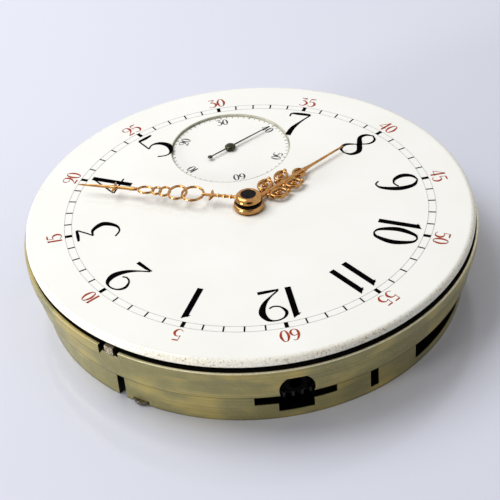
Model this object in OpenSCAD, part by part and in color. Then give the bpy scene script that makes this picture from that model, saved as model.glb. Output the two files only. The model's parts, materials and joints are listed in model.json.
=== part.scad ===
// Pocket watch movement: open, lever set, with an enamel dial and sunk seconds.
// +Z points out of the dial, +Y to twelve o'clock and +X to three o'clock.
// z = 0 is the back of the bridges, on which the movement lies dial up. Millimetres and degrees.

/* [Dial and hands] */
// How far the dial's edge stays inside the flange's edge
dial_inset = 0.25; // [0.05:0.05:0.6]
// Thickness of the enamel dial
dial_t = 0.6; // [0.5:0.05:0.8]
// Thickness of the dial's rounded edge, which hangs down round the seat
dial_edge_t = 0.95; // [0.8:0.05:1]
// Radius of the hole in the middle of the dial
dial_hole_r = 1.7; // [1.55:0.05:2.1]
// Radius of the sunk seconds dial
seconds_r = 6.0; // [5:0.1:6.2]
// Distance from the middle of the dial to the seconds hand's axis
seconds_d = 10.4; // [10.3:0.05:10.8]
// Depth of the seconds dial below the face
seconds_sink = 0.25; // [0.1:0.05:0.35]
// Radius of a dial foot
foot_r = 0.55; // [0.4:0.05:0.6]
// Length of a dial foot
foot_len = 2.6; // [2.4:0.1:3]
// Length of the minute hand from its axis
minute_hand_len = 17.1; // [15:0.1:18]
// Length of the hour hand from its axis
hour_hand_len = 12.9; // [11:0.1:14]
// Length of the seconds hand from its axis
seconds_hand_len = 5.2; // [4:0.1:5.5]
// Thickness of a hand's blade
hand_t = 0.15; // [0.1:0.01:0.2]
// Clock angle that the minute hand points to
minute_angle = 113; // [0:1:359]
// Clock angle that the hour hand points to
hour_angle = 238; // [0:1:359]
// Clock angle that the seconds hand points to
second_angle = 241; // [0:1:359]

/* [Plate and bridges] */
// Radius of the flange that sits on the case. The train and the winding work grow with it
flange_r = 21.75; // [20:0.05:24]
// Thickness of the flange
flange_t = 1.0; // [0.8:0.05:1.2]
// Width of the flange's underside that rests on the case
case_ledge = 0.55; // [0.4:0.05:0.75]
// How far the dial's edge stands out past its seat
dial_overhang = 0.9; // [0.7:0.05:1]
// Height of the dial seat above the flange
seat_h = 0.6; // [0.5:0.05:0.9]
// Width of the dial seat
seat_w = 1.5; // [1.3:0.05:1.6]
// Thickness of the web that carries the upper pivots
web_t = 0.7; // [0.65:0.05:0.8]
// How far the bridges stay inside the plate's edge
bridge_step = 0.7; // [0.4:0.05:0.75]
// Width of the wall at the edge of a bridge
rim_w = 1.6; // [1.5:0.05:1.8]
// Height of the bridges
bridge_h = 3.35; // [3.3:0.05:3.45]
// Thickness of the barrel bridge's floor
barrel_floor_t = 1.95; // [1.8:0.05:2]
// Thickness of the train bridge's floor
train_floor_t = 0.9; // [0.8:0.05:1.1]
// Gap between neighbouring bridges
bridge_gap = 0.2; // [0.1:0.05:0.4]

/* [Rim openings] */
// Radius of the stem's hole at twelve o'clock
stem_hole_r = 1.6; // [1.55:0.05:1.7]
// Width of the crown wheel's slot in the rim
crown_slot_w = 7.4; // [5:0.1:8]
// Height of the crown wheel's slot in the rim
crown_slot_h = 0.95; // [0.75:0.05:1]
// Height of the lip left under the stem's notch
notch_lip = 0.8; // [0.6:0.05:1]
// Clock angle of the narrow slit in the rim
slit_angle = 339; // [337:0.5:342]
// Width of the narrow slit in the rim
slit_w = 0.85; // [0.5:0.05:1]
// Clock angle of the middle of the barrel's window in the rim
window_angle = 309; // [306:0.5:311]
// Angle that the barrel's window spans
window_span = 32; // [24:0.5:34]
// Height of the lip left under the barrel's window
window_lip = 0.65; // [0.6:0.05:1]
// Height of the barrel's window
window_h = 2.15; // [1.2:0.05:2.2]

/* [Going train] */
// Thickness of the train wheels
wheel_t = 0.2; // [0.16:0.01:0.24]
// Teeth on the barrel
barrel_n = 78; // [76:1:80]
// Leaves on the centre pinion
centre_leaves = 12; // [12:1:12]
// Module of the barrel's teeth
barrel_module = 0.21; // [0.205:0.001:0.213]
// Teeth on the centre wheel
centre_n = 80; // [78:1:80]
// Module of the centre wheel
centre_module = 0.15; // [0.147:0.001:0.152]
// Teeth on the third wheel
third_n = 75; // [74:1:76]
// Module of the third wheel
third_module = 0.13; // [0.128:0.001:0.132]
// Teeth on the fourth wheel
fourth_n = 80; // [78:1:82]
// Module of the fourth wheel
fourth_module = 0.11; // [0.108:0.001:0.112]
// Leaves on the third and fourth pinions
train_leaves = 10; // [10:1:10]
// Leaves on the escape pinion
escape_leaves = 8; // [8:1:8]
// Radius of a train arbor
arbor_r = 0.28; // [0.24:0.01:0.3]
// Radius of a train pivot
pivot_r = 0.13; // [0.1:0.01:0.16]
// Radius of the long seconds pivot
seconds_pivot_r = 0.22; // [0.18:0.01:0.26]
// Radius of the centre arbor
centre_arbor_r = 0.55; // [0.5:0.01:0.6]
// Outer radius of a bearing jewel
jewel_r = 0.55; // [0.5:0.01:0.65]

/* [Barrel] */
// Clock angle of the barrel's axis
barrel_angle = 312; // [311:0.5:313]
// Height of the barrel
barrel_h = 1.6; // [1.5:0.05:1.6]
// Thickness of the barrel's wall
barrel_wall = 0.5; // [0.4:0.05:0.6]
// Thickness of the barrel's cover
cover_t = 0.25; // [0.2:0.05:0.35]
// Radius of the barrel arbor's hub
hub_r = 2.0; // [1.8:0.05:2.2]
// Radius of the barrel arbor's pivots
barrel_pivot_r = 0.8; // [0.7:0.05:0.85]
// Turns of the mainspring
mainspring_turns = 8; // [6:1:8]
// Thickness of the mainspring
mainspring_t = 0.14; // [0.1:0.01:0.16]

/* [Winding and setting] */
// Teeth on the ratchet wheel
ratchet_n = 56; // [55:1:57]
// Teeth on the crown wheel
crown_n = 36; // [36:1:36]
// Teeth on the winding pinion
winding_leaves = 10; // [10:1:10]
// Module of the winding wheels
winding_module = 0.25; // [0.248:0.001:0.252]
// Thickness of the winding wheels
winding_t = 0.55; // [0.5:0.05:0.55]
// Radius of the sliding clutch
clutch_r = 1.45; // [1.4:0.01:1.48]
// Travel of the sliding clutch
clutch_travel = 0.9; // [0.7:0.05:0.9]
// Radius of the stem's socket in the winding arbor
socket_r = 0.6; // [0.5:0.05:0.65]
// Depth of the stem's socket
socket_len = 1.6; // [1.2:0.1:2]
// Clock angle of the setting lever's end at the rim
lever_angle = 45.5; // [44.5:0.5:46.5]
// Width of the setting lever's end
lever_w = 1.0; // [0.8:0.05:1.2]
// Room beside the setting lever's end in its notch
lever_room = 0.6; // [0.5:0.05:0.8]
// Module of the motion work
motion_module = 0.2; // [0.196:0.001:0.201]
// Teeth on the cannon pinion
cannon_n = 12; // [12:1:12]
// Teeth on the minute wheel
minute_n = 36; // [36:1:36]
// Teeth on the minute pinion
minute_leaves = 10; // [10:1:10]
// Teeth on the hour wheel
hour_n = 40; // [40:1:40]
// Teeth on the setting wheel
setting_n = 28; // [28:1:28]
// Distance of the setting wheel's axis from the middle
setting_d = 10.7; // [10.6:0.05:10.75]

/* [Escapement] */
// Clock angle of the balance's axis
balance_angle = 120; // [118:0.5:121]
// Distance of the balance's axis from the middle
balance_d = 11.2; // [11:0.05:11.3]
// Outer radius of the balance's rim
balance_r = 6.1; // [5.8:0.05:6.2]
// Width of the balance's rim
balance_rim_w = 0.6; // [0.5:0.05:0.8]
// Height of the balance's rim
balance_rim_h = 0.7; // [0.6:0.05:0.8]
// Pairs of screws in the balance's rim
screw_pairs = 7; // [5:1:7]
// Radius of the escape wheel over its teeth
escape_r = 3.3; // [3.2:0.02:3.36]
// Teeth on the escape wheel
escape_n = 15; // [15:1:15]
// Distance from the pallet arbor to the balance's axis
fork_d = 4.29; // [4.2:0.01:4.35]
// Distance of the roller jewel from the balance's axis
roller_jewel_d = 0.85; // [0.8:0.01:0.9]
// Turns of the hairspring
hairspring_turns = 8; // [6:1:8]
// Pitch of the hairspring's coils
hairspring_pitch = 0.5; // [0.48:0.01:0.51]
// Thickness of the hairspring
hairspring_t = 0.07; // [0.05:0.01:0.08]
// Height of the hairspring
hairspring_h = 0.25; // [0.2:0.01:0.28]

/* [Fits] */
// Play of a pivot or shaft in its hole
play = 0.03; // [0.02:0.005:0.05]
// Room beside a moving piece
room = 0.15; // [0.12:0.01:0.18]

/* [Hidden] */
$fn = 48;

// Radii of the frame, all from the flange's
plate_r = flange_r - case_ledge;
dial_r = flange_r - dial_inset;
seat_r = dial_r - dial_overhang;
motion_recess_r = seat_r - seat_w;
foot_d = seat_r - seat_w / 2;
bridge_r = plate_r - bridge_step;
wall_r = bridge_r - rim_w;

// The plan of the train and the winding work is drawn for a flange of plan_r
plan_r = 21.75;
plan = flange_r / plan_r;
barrel_m = plan * barrel_module;
centre_m = plan * centre_module;
third_m = plan * third_module;
fourth_m = plan * fourth_module;
winding_m = plan * winding_module;
motion_m = plan * motion_module;
rim_r = plan * balance_r;
escape_tip = plan * escape_r;
fork_len = plan * fork_d;

// Heights of the train, from the back to the dial
z_winding = barrel_floor_t + room;
z_barrel = z_winding + winding_t + room;
z_centre = z_barrel + barrel_h + room;
stem_mesh = 0.9 * winding_m;
z_stem = z_winding + winding_t - stem_mesh + gear_tip(winding_leaves, winding_m);
web_room = 0.2;

// Heights of the frame
z_plate = bridge_h;
z_web = z_centre + wheel_t + web_room;
z_floor = z_web + web_t;
floor_drop = 0.15;
z_flange = z_floor + floor_drop;
z_ledge = z_flange + flange_t;
z_dial = z_ledge + seat_h;
z_face = z_dial + dial_t;

// Heights of the train's other wheels
z_third = train_floor_t + 0.85;
z_fourth = z_third + 0.85;
fourth_t = wheel_t + 0.1;
z_escape = z_fourth + fourth_t + 0.25;
escape_t = 0.12;
pinion_over = 0.15;
z_pivot_low = 0.35;
z_pivot_top = z_floor - 0.2;

// Heights of the balance, from the cock to the roller
z_cock = 0.35;
cock_t = 0.6;
z_hairspring = z_cock + cock_t + 0.1;
z_balance = z_hairspring + hairspring_h + 0.2;
z_arm = z_balance + balance_rim_h / 2 - 0.1;
arm_t = 0.2;
roller_t = 0.2;
z_roller = z_escape - roller_t - 0.2;

// Heights of the motion work and the hands
z_minute = z_floor + room;
minute_t = 0.25;
z_hour = z_minute + minute_t + 0.25;
z_washer = z_hour + minute_t + 0.05;
z_seconds_hand = z_face - seconds_sink + 0.3;
z_hour_hand = z_face + 0.42;
hour_collet_h = 0.45;
z_minute_hand = z_hour_hand + hour_collet_h + 0.12;
minute_collet_h = 0.55;

// A point at a clock angle and a distance from the middle
function clock(angle, r) = [r * sin(angle), r * cos(angle)];
// The direction from one point to another, as an angle from +X
function bearing(p, q) = atan2(q.y - p.y, q.x - p.x);
// The point at rp from p and rq from q, on the left of the line from p to q
function meet(p, q, rp, rq) =
    let (d = norm(q - p), a = (rp * rp - rq * rq + d * d) / (2 * d), u = (q - p) / d)
    p + a * u + sqrt(rp * rp - a * a) * [-u.y, u.x];
// The angle of a tooth on gear b that meshes with gear a, whose tooth lies at phase
function mate(phase, na, nb, dir) = dir + 180 + (dir - phase) * na / nb + 180 / nb;
// Outline of a gear with a tooth on +X
tooth_steps = [[-0.28, 0], [-0.11, 1], [0.11, 1], [0.28, 0]];
function gear_tip(n, m) = n * m / 2 + 0.9 * m;
function gear_root(n, m) = n * m / 2 - 1.1 * m;
function gear_points(n, m) = [for (i = [0 : n - 1], s = tooth_steps)
    let (r = s[1] == 1 ? gear_tip(n, m) : gear_root(n, m), a = (i + s[0]) * 360 / n)
    [r * cos(a), r * sin(a)]];

// Places of the axes
centre = [0, 0];
fourth = [0, -plan * seconds_d];
barrel_axis = clock(barrel_angle, (barrel_n + centre_leaves) * barrel_m / 2);
winding_d = (ratchet_n + crown_n) * winding_m / 2;
crown = [0, barrel_axis.y + sqrt(winding_d * winding_d - barrel_axis.x * barrel_axis.x)];
centre_third = (centre_n + train_leaves) * centre_m / 2;
third_fourth = (third_n + train_leaves) * third_m / 2;
third = meet(fourth, centre, third_fourth, centre_third);
balance = clock(balance_angle, plan * balance_d);
escape_pallet = escape_tip / cos(30);
fourth_escape = (fourth_n + escape_leaves) * fourth_m / 2;
escape = meet(balance, fourth, escape_pallet + fork_len, fourth_escape);
line_angle = bearing(escape, balance);
pallet = escape + escape_pallet * [cos(line_angle), sin(line_angle)];
setting = [0, plan * setting_d];
minute_axis = meet(setting, centre, (setting_n + minute_n) * motion_m / 2,
    (cannon_n + minute_n) * motion_m / 2);
hour_m = (cannon_n + minute_n) * motion_m / (minute_leaves + hour_n);

// Phases of the teeth at rest
barrel_phase = bearing(barrel_axis, centre);
centre_phase = bearing(centre, third);
third_phase = bearing(third, fourth);
fourth_phase = bearing(fourth, escape);
cannon_phase = bearing(centre, minute_axis);
minute_phase = mate(cannon_phase, cannon_n, minute_n, cannon_phase);
setting_phase = mate(minute_phase, minute_n, setting_n, bearing(minute_axis, setting));
ratchet_phase = bearing(barrel_axis, crown);
crown_phase = mate(ratchet_phase, ratchet_n, crown_n, ratchet_phase);
winding_phase = 90 - (90 - crown_phase + 180 / crown_n) * crown_n / winding_leaves;

// Places along the stem's axis
bearing_len = 0.9;
winding_out = crown.y + crown_n * winding_m / 2 + 0.25;
winding_in = winding_out - 2.45;
clutch_out = winding_in - 0.05;
clutch_len = 2.75;
jaw_h = 0.3;
groove_w = 0.7;
clutch_in = clutch_out - clutch_len;
groove_y = clutch_in + 1.65;
bearing_room = 0.33;
arbor_in = clutch_in - clutch_travel - bearing_room - bearing_len;
arbor_out = winding_out + 0.2;
arbor_pivot_r = 0.4;
square_w = 4.4 * winding_m;
winding_bore = 3.4 * winding_m;

// Places of the setting work
lever_boss = 0.9;
lever_reach = 0.35;
lever_pivot = clock(27.5, seat_r - lever_boss - 0.2);
lever_elbow = clock(lever_angle - 2.5, seat_r - 1.2);
lever_tip = clock(lever_angle, seat_r - lever_reach);
yoke_pivot = plan * [5.2, 15];
yoke_t = 0.3;
z_yoke = z_floor + 0.1;
z_lever = z_yoke + yoke_t + 0.1;
lever_t = 0.45;
stud_r = 0.45;
setting_sector = [4, 62];

// Places of the fasteners
screw_d = bridge_r - rim_w / 2;
screw_head_r = 0.68;
screw_r = 0.4;
bridge_screw_angles = [28, 288, 200, 250, 75];
case_screw_angles = [40.4, 218];
foot_angles = [110, 185, 275];
foot_screw_r = 0.35;

// Colours of the finishes
nickel = [0.62, 0.60, 0.47];
gilt = [0.80, 0.66, 0.38];
steel = [0.66, 0.67, 0.69];
blued = [0.16, 0.19, 0.32];
ruby = [0.72, 0.12, 0.25];
enamel = [0.96, 0.96, 0.94];
gold = [0.80, 0.55, 0.25];

// Shapes that several pieces share

// A ring on the XY plane
module ring(r_out, r_in) {
    difference() {
        circle(r_out);
        circle(r_in);
    }
}

// A bar with round ends from p to q
module bar(p, q, rp, rq) {
    d = norm(q - p);
    wp = 0.97 * rp;
    wq = 0.97 * rq;
    translate(p)
        circle(rp);
    translate(q)
        circle(rq);
    translate(p)
        rotate(bearing(p, q))
            polygon([[0, wp], [d, wq], [d, -wq], [0, -wp]]);
}

// A solid between two heights over a flat outline
module slab(z0, z1) {
    translate([0, 0, z0])
        linear_extrude(z1 - z0)
            children();
}

// A stack of round steps [z0, z1, r] on an upright axis
module turned(axis, steps) {
    for (s = steps)
        translate([axis.x, axis.y, s[0]])
            cylinder(h = s[1] - s[0], r = s[2]);
}

// A gear with round or no crossings: arms between the hub and the rim
module wheel_2d(n, m, bore, hub, rim, arms, arm_w) {
    difference() {
        polygon(gear_points(n, m));
        circle(bore);
        if (arms > 0)
            difference() {
                ring(gear_root(n, m) - rim, hub);
                for (i = [0 : arms - 1])
                    rotate(i * 360 / arms)
                        translate([0, -arm_w / 2])
                            square([n * m / 2, arm_w]);
            }
    }
}

// A crossed train wheel on an axis, with its tooth at phase
module train_wheel(axis, z, t, n, m, bore, phase) {
    translate([axis.x, axis.y, z])
        rotate(phase)
            linear_extrude(t)
                wheel_2d(n, m, bore, 2 * bore, 0.55, 5, 0.45);
}

// An arbor with pinion leaves from z0 to z1 and a seat of seat_r for the wheel at z_wheel
module pinion_arbor(axis, z0, z1, n, m, phase, z_wheel, t, seat_r, top) {
    turned(axis, [[z_pivot_low + 0.55, z_web - room, arbor_r]]);
    translate([axis.x, axis.y, z0])
        rotate(phase)
            linear_extrude(z1 - z0)
                polygon(gear_points(n, m));
    turned(axis, [[z_wheel, z_wheel + t, seat_r]]);
    turned(axis, [[z_pivot_low, z_pivot_low + 0.7, pivot_r]]);
    turned(axis, [[z_web - 2 * room, top, pivot_r]]);
}

// A wedge of the plane between two clock angles
module wedge(a0, a1) {
    polygon(concat([[0, 0]], [for (i = [0 : 8]) clock(a0 + (a1 - a0) * i / 8, 2 * flange_r)]));
}

// A ring of jaw teeth along +Y, one tooth centred on each pitch
module jaws(y0, y1, r_out, r_in, n, share, phase) {
    translate([0, y0, z_stem])
        rotate([-90, 0, 0])
            linear_extrude(y1 - y0)
                intersection() {
                    ring(r_out, r_in);
                    for (i = [0 : n - 1])
                        rotate(phase + i * 360 / n)
                            polygon([[0, 0], 3 * r_out * [cos(180 * share / n), -sin(180 * share / n)],
                                3 * r_out * [cos(180 * share / n), sin(180 * share / n)]]);
                }
}

// A round step along the stem's axis
module on_stem(y0, y1, r) {
    translate([0, y0, z_stem])
        rotate([-90, 0, 0])
            cylinder(h = y1 - y0, r = r);
}

// A square step along the stem's axis
module square_on_stem(y0, y1, w) {
    translate([-w / 2, y0, z_stem - w / 2])
        cube([w, y1 - y0, w]);
}

// A screw with its head down in a counterbore at the back
module back_screw(p, r_head, head_h, r, top) {
    turned(p, [[0.05, head_h, r_head], [head_h, top, r]]);
}

// A flat spiral ribbon. Its outer end lies at end_angle, and its last part is a round arc
function spiral_r(t, r_in, pitch, r_out) = min(r_in + pitch * t / 360, r_out);
function spiral_point(t, total, r_in, pitch, r_out, end_angle, off) =
    let (r = spiral_r(t, r_in, pitch, r_out) + off, a = end_angle + total - t)
    [r * cos(a), r * sin(a)];
spiral_step = 15;
function spiral_points(total, r_in, pitch, r_out, end_angle, t) = concat(
    [for (i = [0 : spiral_step : total]) spiral_point(i, total, r_in, pitch, r_out, end_angle, t / 2)],
    [for (i = [0 : spiral_step : total])
        spiral_point(total - i, total, r_in, pitch, r_out, end_angle, -t / 2)]);
// The least gap between neighbouring turns of a spiral, measured on its points
function spiral_gap(total, r_in, pitch, r_out, t) = min([for (i = [0 : spiral_step : total - 360])
    spiral_r(i + 360, r_in, pitch, r_out) - spiral_r(i, r_in, pitch, r_out) - t]);

// The dial and the hands

module dial() {
    color(enamel)
        difference() {
            translate([0, 0, z_face - dial_edge_t])
                rotate_extrude() {
                    square([dial_r - dial_edge_t / 2, dial_edge_t]);
                    translate([dial_r - dial_edge_t / 2, dial_edge_t / 2])
                        intersection() {
                            circle(dial_edge_t / 2);
                            translate([0, -dial_edge_t])
                                square([dial_edge_t, 2 * dial_edge_t]);
                        }
                }
            turned(centre, [[z_dial - 1, z_dial, seat_r + play]]);
            translate([0, 0, z_dial - 1])
                cylinder(h = dial_t + 2, r = dial_hole_r);
            translate([fourth.x, fourth.y, z_dial - 1])
                cylinder(h = dial_t + 2, r = seconds_r);
        }
}

seconds_lip = 0.7;
seconds_lip_t = 0.2;

module seconds_dial() {
    color(enamel)
        difference() {
            turned(fourth, [[z_dial - seconds_lip_t, z_dial, seconds_r + seconds_lip],
                [z_dial, z_face - seconds_sink, seconds_r - play]]);
            turned(fourth, [[z_dial - 1, z_face, 2 * seconds_pivot_r + play]]);
        }
}

module dial_feet() {
    color("peru")
        for (a = foot_angles)
            turned(clock(a, foot_d), [[z_dial - foot_len, z_dial, foot_r]]);
}

foot_screw_z = z_flange - 0.6;
foot_screw_head = 0.35;

// A row of round steps along the radius at a clock angle, at the foot screws' height
module radial(angle, r0, r1, r) {
    rotate(-angle)
        translate([0, r0, foot_screw_z])
            rotate([-90, 0, 0])
                cylinder(h = r1 - r0, r = r);
}

module dial_foot_screws() {
    color(steel)
        for (a = foot_angles) {
            radial(a, foot_d + foot_r, plate_r - foot_screw_head - 0.05, foot_screw_r);
            radial(a, plate_r - foot_screw_head - 0.05, plate_r - 0.05, 1.5 * foot_screw_r);
        }
}

// A tapered pointer from p to a fine tip on +X
module pointer(p, tip, w0, w1) {
    polygon([[p, -w0 / 2], [tip - 2 * w1, -w1 / 2], [tip, 0], [tip - 2 * w1, w1 / 2], [p, w0 / 2]]);
}

// A pierced scroll: an open ring with its centre at p
module scroll(p, r, w) {
    translate(p)
        ring(r, r - w);
}

scroll_w = 0.3;
cannon_r = 0.95;
cannon_tip_r = 0.75;
hour_pipe_r = 1.32;
hour_hub_r = 1.5;
minute_hub_r = 1.18;

module minute_hand_2d() {
    translate([1, -0.2])
        square([3.9, 0.4]);
    for (s = [-1, 1]) {
        bar([3.2, 0], [3.75, s * 0.75], 0.18, 0.12);
        scroll([5.3, s * 0.53], 0.8, scroll_w);
        scroll([7.6, s * 0.43], 0.55, scroll_w);
    }
    scroll([6.6, 0], 0.8, scroll_w);
    scroll([8.5, 0], 0.55, scroll_w);
    scroll([9.4, 0], 0.5, scroll_w);
    scroll([10.3, 0], 0.5, scroll_w);
    scroll([11.1, 0], 0.42, scroll_w);
    pointer(11.4, minute_hand_len, 0.42, 0.12);
    polygon([[12.4, 0], [13.5, 0.45], [14.6, 0], [13.5, -0.45]]);
}

module minute_hand() {
    color(gold)
        rotate(90 - minute_angle)
            difference() {
                union() {
                    slab(z_minute_hand, z_minute_hand + hand_t)
                        minute_hand_2d();
                    turned(centre, [[z_minute_hand - 0.05, z_minute_hand + minute_collet_h - 0.1,
                        minute_hub_r], [z_minute_hand + minute_collet_h - 0.1,
                        z_minute_hand + minute_collet_h, minute_hub_r - 0.15]]);
                }
                turned(centre, [[z_dial, cannon_top + 1, cannon_tip_r]]);
            }
}

module hour_hand_2d() {
    translate([1.2, -0.25])
        square([2.3, 0.5]);
    for (s = [-1, 1]) {
        scroll([3.3, s * 1.05], 0.75, scroll_w);
        scroll([4.6, s * 1.0], 0.8, scroll_w);
        scroll([5.9, s * 0.6], 0.65, scroll_w);
    }
    scroll([3.95, 0], 0.75, scroll_w);
    scroll([5.2, 0], 0.66, scroll_w);
    scroll([6.95, 0], 0.72, scroll_w);
    pointer(7.5, hour_hand_len, 0.5, 0.16);
}

module hour_hand() {
    color(gold)
        rotate(90 - hour_angle)
            difference() {
                union() {
                    slab(z_hour_hand, z_hour_hand + hand_t)
                        hour_hand_2d();
                    turned(centre, [[z_hour_hand - 0.15, z_hour_hand + hour_collet_h, hour_hub_r]]);
                }
                turned(centre, [[z_dial, z_face + 3, hour_pipe_r]]);
            }
}

seconds_hub_r = 0.55;

module seconds_hand() {
    color(blued)
        translate([fourth.x, fourth.y, 0])
            rotate(90 - second_angle)
                difference() {
                    union() {
                        slab(z_seconds_hand, z_seconds_hand + 0.1) {
                            pointer(0, seconds_hand_len, 0.16, 0.1);
                            translate([-2.6, -0.08])
                                square([2.6, 0.16]);
                            translate([-2.6, 0])
                                circle(0.28);
                        }
                        turned(centre, [[z_seconds_hand - 0.12, z_seconds_hand + 0.2, seconds_hub_r]]);
                    }
                    turned(centre, [[z_dial, z_seconds_hand + 0.1, seconds_pivot_r]]);
                }
}

// The motion work under the dial

hour_pipe_top = z_hour_hand + hour_collet_h;
cannon_top = z_minute_hand + minute_collet_h - play;

module dial_washer() {
    color("goldenrod")
        translate([0, 0, z_washer])
            difference() {
                cylinder(h = z_dial - z_washer, r1 = 2.6, r2 = dial_hole_r + 0.4);
                translate([0, 0, -0.12])
                    cylinder(h = z_dial - z_washer, r1 = 2.6, r2 = dial_hole_r + 0.4);
                cylinder(h = 3, r = hour_pipe_r + play);
            }
}

module hour_wheel() {
    phase = mate(bearing(minute_axis, centre), minute_leaves, hour_n, bearing(minute_axis, centre));
    color("goldenrod")
        difference() {
            union() {
                slab(z_hour, z_hour + minute_t)
                    rotate(phase)
                        polygon(gear_points(hour_n, hour_m));
                turned(centre, [[z_hour, hour_pipe_top, hour_pipe_r]]);
            }
            turned(centre, [[z_floor, z_face + 3, cannon_r + play]]);
        }
}

post_r = 0.35;
minute_pinion_top = z_hour + minute_t + 0.1;

module minute_wheel() {
    color("goldenrod")
        translate([minute_axis.x, minute_axis.y, 0])
            difference() {
                union() {
                    slab(z_minute, z_minute + minute_t)
                        rotate(minute_phase)
                            polygon(gear_points(minute_n, motion_m));
                    slab(z_minute, minute_pinion_top)
                        rotate(bearing(minute_axis, centre))
                            polygon(gear_points(minute_leaves, hour_m));
                }
                turned(centre, [[z_web, z_face, post_r + play]]);
            }
}

module cannon_pinion() {
    color(steel)
        difference() {
            union() {
                slab(z_minute - 0.05, z_hour - 0.06)
                    rotate(cannon_phase)
                        polygon(gear_points(cannon_n, motion_m));
                turned(centre, [[z_minute - 0.05, z_minute_hand - 0.05, cannon_r]]);
                turned(centre, [[z_minute_hand - 0.25, cannon_top, cannon_tip_r]]);
            }
            turned(centre, [[z_web, cannon_top - 0.2, centre_arbor_r + play]]);
        }
}

setting_recess_z = z_web + 0.2;
setting_top = z_minute + minute_t - 0.05;

module setting_wheel() {
    color(steel)
        translate([setting.x, setting.y, 0])
            rotate(setting_phase)
                slab(setting_recess_z + 0.05, setting_top)
                    wheel_2d(setting_n, motion_m, post_r + play, 1, 0.5, 0, 0);
}

module motion_posts() {
    color(steel) {
        turned(minute_axis, [[z_web + 0.1, minute_pinion_top + 0.05, post_r]]);
        turned(setting, [[z_web, setting_top + 0.05, post_r],
            [setting_top + 0.05, setting_top + 0.25, 2 * post_r]]);
    }
}

// The pillar plate and its jewels

pivots = [third, escape, pallet, balance];
lever_notch_w = lever_w + 2 * lever_room;

module pillar_plate() {
    color(nickel)
        difference() {
            union() {
                turned(centre, [[z_plate, z_flange, plate_r], [z_flange, z_ledge, flange_r],
                    [z_ledge, z_dial, seat_r]]);
            }
            difference() {
                turned(centre, [[z_plate - 1, z_web, wall_r]]);
                translate([-1.3, arbor_in, z_stem - 0.8])
                    cube([2.6, bearing_len, z_web]);
            }
            turned(centre, [[z_floor, z_dial + 1, motion_recess_r]]);
            slab(z_floor, z_dial + 1)
                intersection() {
                    circle(seat_r + lever_reach);
                    wedge(setting_sector[0], setting_sector[1]);
                }
            slab(z_floor, z_dial + 1)
                rotate(-lever_angle)
                    translate([-lever_notch_w / 2, motion_recess_r])
                        square([lever_notch_w, 4]);
            on_stem(arbor_in + bearing_len, flange_r + 1, stem_hole_r);
            on_stem(arbor_in - 1, plate_r, arbor_pivot_r + play);
            translate([-stem_hole_r, arbor_in + bearing_len, z_stem])
                cube([2 * stem_hole_r, winding_out + room - arbor_in - bearing_len, 4]);
            turned(setting, [[setting_recess_z, z_dial, gear_tip(setting_n, motion_m) + room]]);
            turned(setting, [[z_web - 1, z_dial, post_r]]);
            turned(minute_axis, [[z_web + 0.1, z_dial, post_r]]);
            turned(centre, [[z_web - 1, z_dial, centre_arbor_r + play]]);
            for (p = concat(pivots, [fourth]))
                turned(p, [[z_web - 1, z_dial, jewel_r]]);
            turned(barrel_axis, [[z_web - 1, z_web + 0.45, barrel_pivot_r + play]]);
            for (p = [lever_pivot, yoke_pivot])
                turned(p, [[z_floor - 0.55, z_dial, stud_r]]);
            for (a = foot_angles) {
                turned(clock(a, foot_d), [[z_dial - foot_len - 0.1, z_dial + 1, foot_r + play]]);
                radial(a, foot_d, plate_r + 1, foot_screw_r);
                radial(a, plate_r - foot_screw_head - 0.05, plate_r + 1, 1.5 * foot_screw_r);
            }
            for (a = bridge_screw_angles)
                turned(clock(a, screw_d), [[z_plate - 1, screw_top, screw_r]]);
        }
}

jewel_t = 0.4;
screw_top = z_plate + 1.4;

module jewel(p, z, hole) {
    difference() {
        turned(p, [[z, z + jewel_t, jewel_r]]);
        turned(p, [[z - 1, z + 1, hole]]);
    }
}

module plate_jewels() {
    color(ruby) {
        for (p = pivots)
            jewel(p, z_web + room, pivot_r + play);
        jewel(fourth, z_web + room, seconds_pivot_r + play);
    }
}

// The setting lever, the yoke and their springs

lever_nose = lever_pivot - plan * [2.6, 0.7];

module setting_lever() {
    color(steel)
        difference() {
            union() {
                slab(z_lever, z_lever + lever_t)
                    bar(lever_pivot, lever_elbow, lever_boss, 0.45);
                slab(z_lever, z_lever + lever_t)
                    bar(lever_elbow, lever_tip, 0.45, 0.4);
                slab(z_lever, z_lever + lever_t)
                    bar(lever_pivot, lever_nose, lever_boss, 0.4);
                slab(z_lever - 0.1, z_face - dial_edge_t - 0.1)
                    intersection() {
                        rotate(-lever_angle)
                            translate([-lever_w / 2, 0])
                                square([lever_w, flange_r + 1]);
                        ring(flange_r - 0.15, seat_r - lever_reach - 0.2);
                    }
            }
            turned(lever_pivot, [[z_web, z_dial, stud_r + play]]);
        }
}

module shoulder_screw(p, top) {
    turned(p, [[z_floor - 0.55, top, stud_r], [top, top + 0.25, stud_r + 0.4]]);
}

module setting_lever_screw() {
    color(steel)
        shoulder_screw(lever_pivot, z_lever + lever_t + play);
}

finger_r = 0.25;
groove_r = 0.95;

module yoke() {
    color(steel)
        difference() {
            union() {
                slab(z_yoke, z_yoke + yoke_t) {
                    bar(yoke_pivot, [0, groove_y], 0.9, 0.5);
                    bar(yoke_pivot, yoke_pivot + [2.4, -0.7], 0.9, 0.35);
                }
                turned([0, groove_y], [[z_stem + groove_r + 0.06, z_yoke, finger_r]]);
            }
            turned(yoke_pivot, [[z_web, z_dial, stud_r + play]]);
        }
}

module yoke_screw() {
    color(steel)
        shoulder_screw(yoke_pivot, z_yoke + yoke_t + play);
}

spring_root = plan * [12.4, 11.8];
spring_bend = plan * [10.4, 14.3];
spring_tip = yoke_pivot + [2.5, 0.3];

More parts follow.
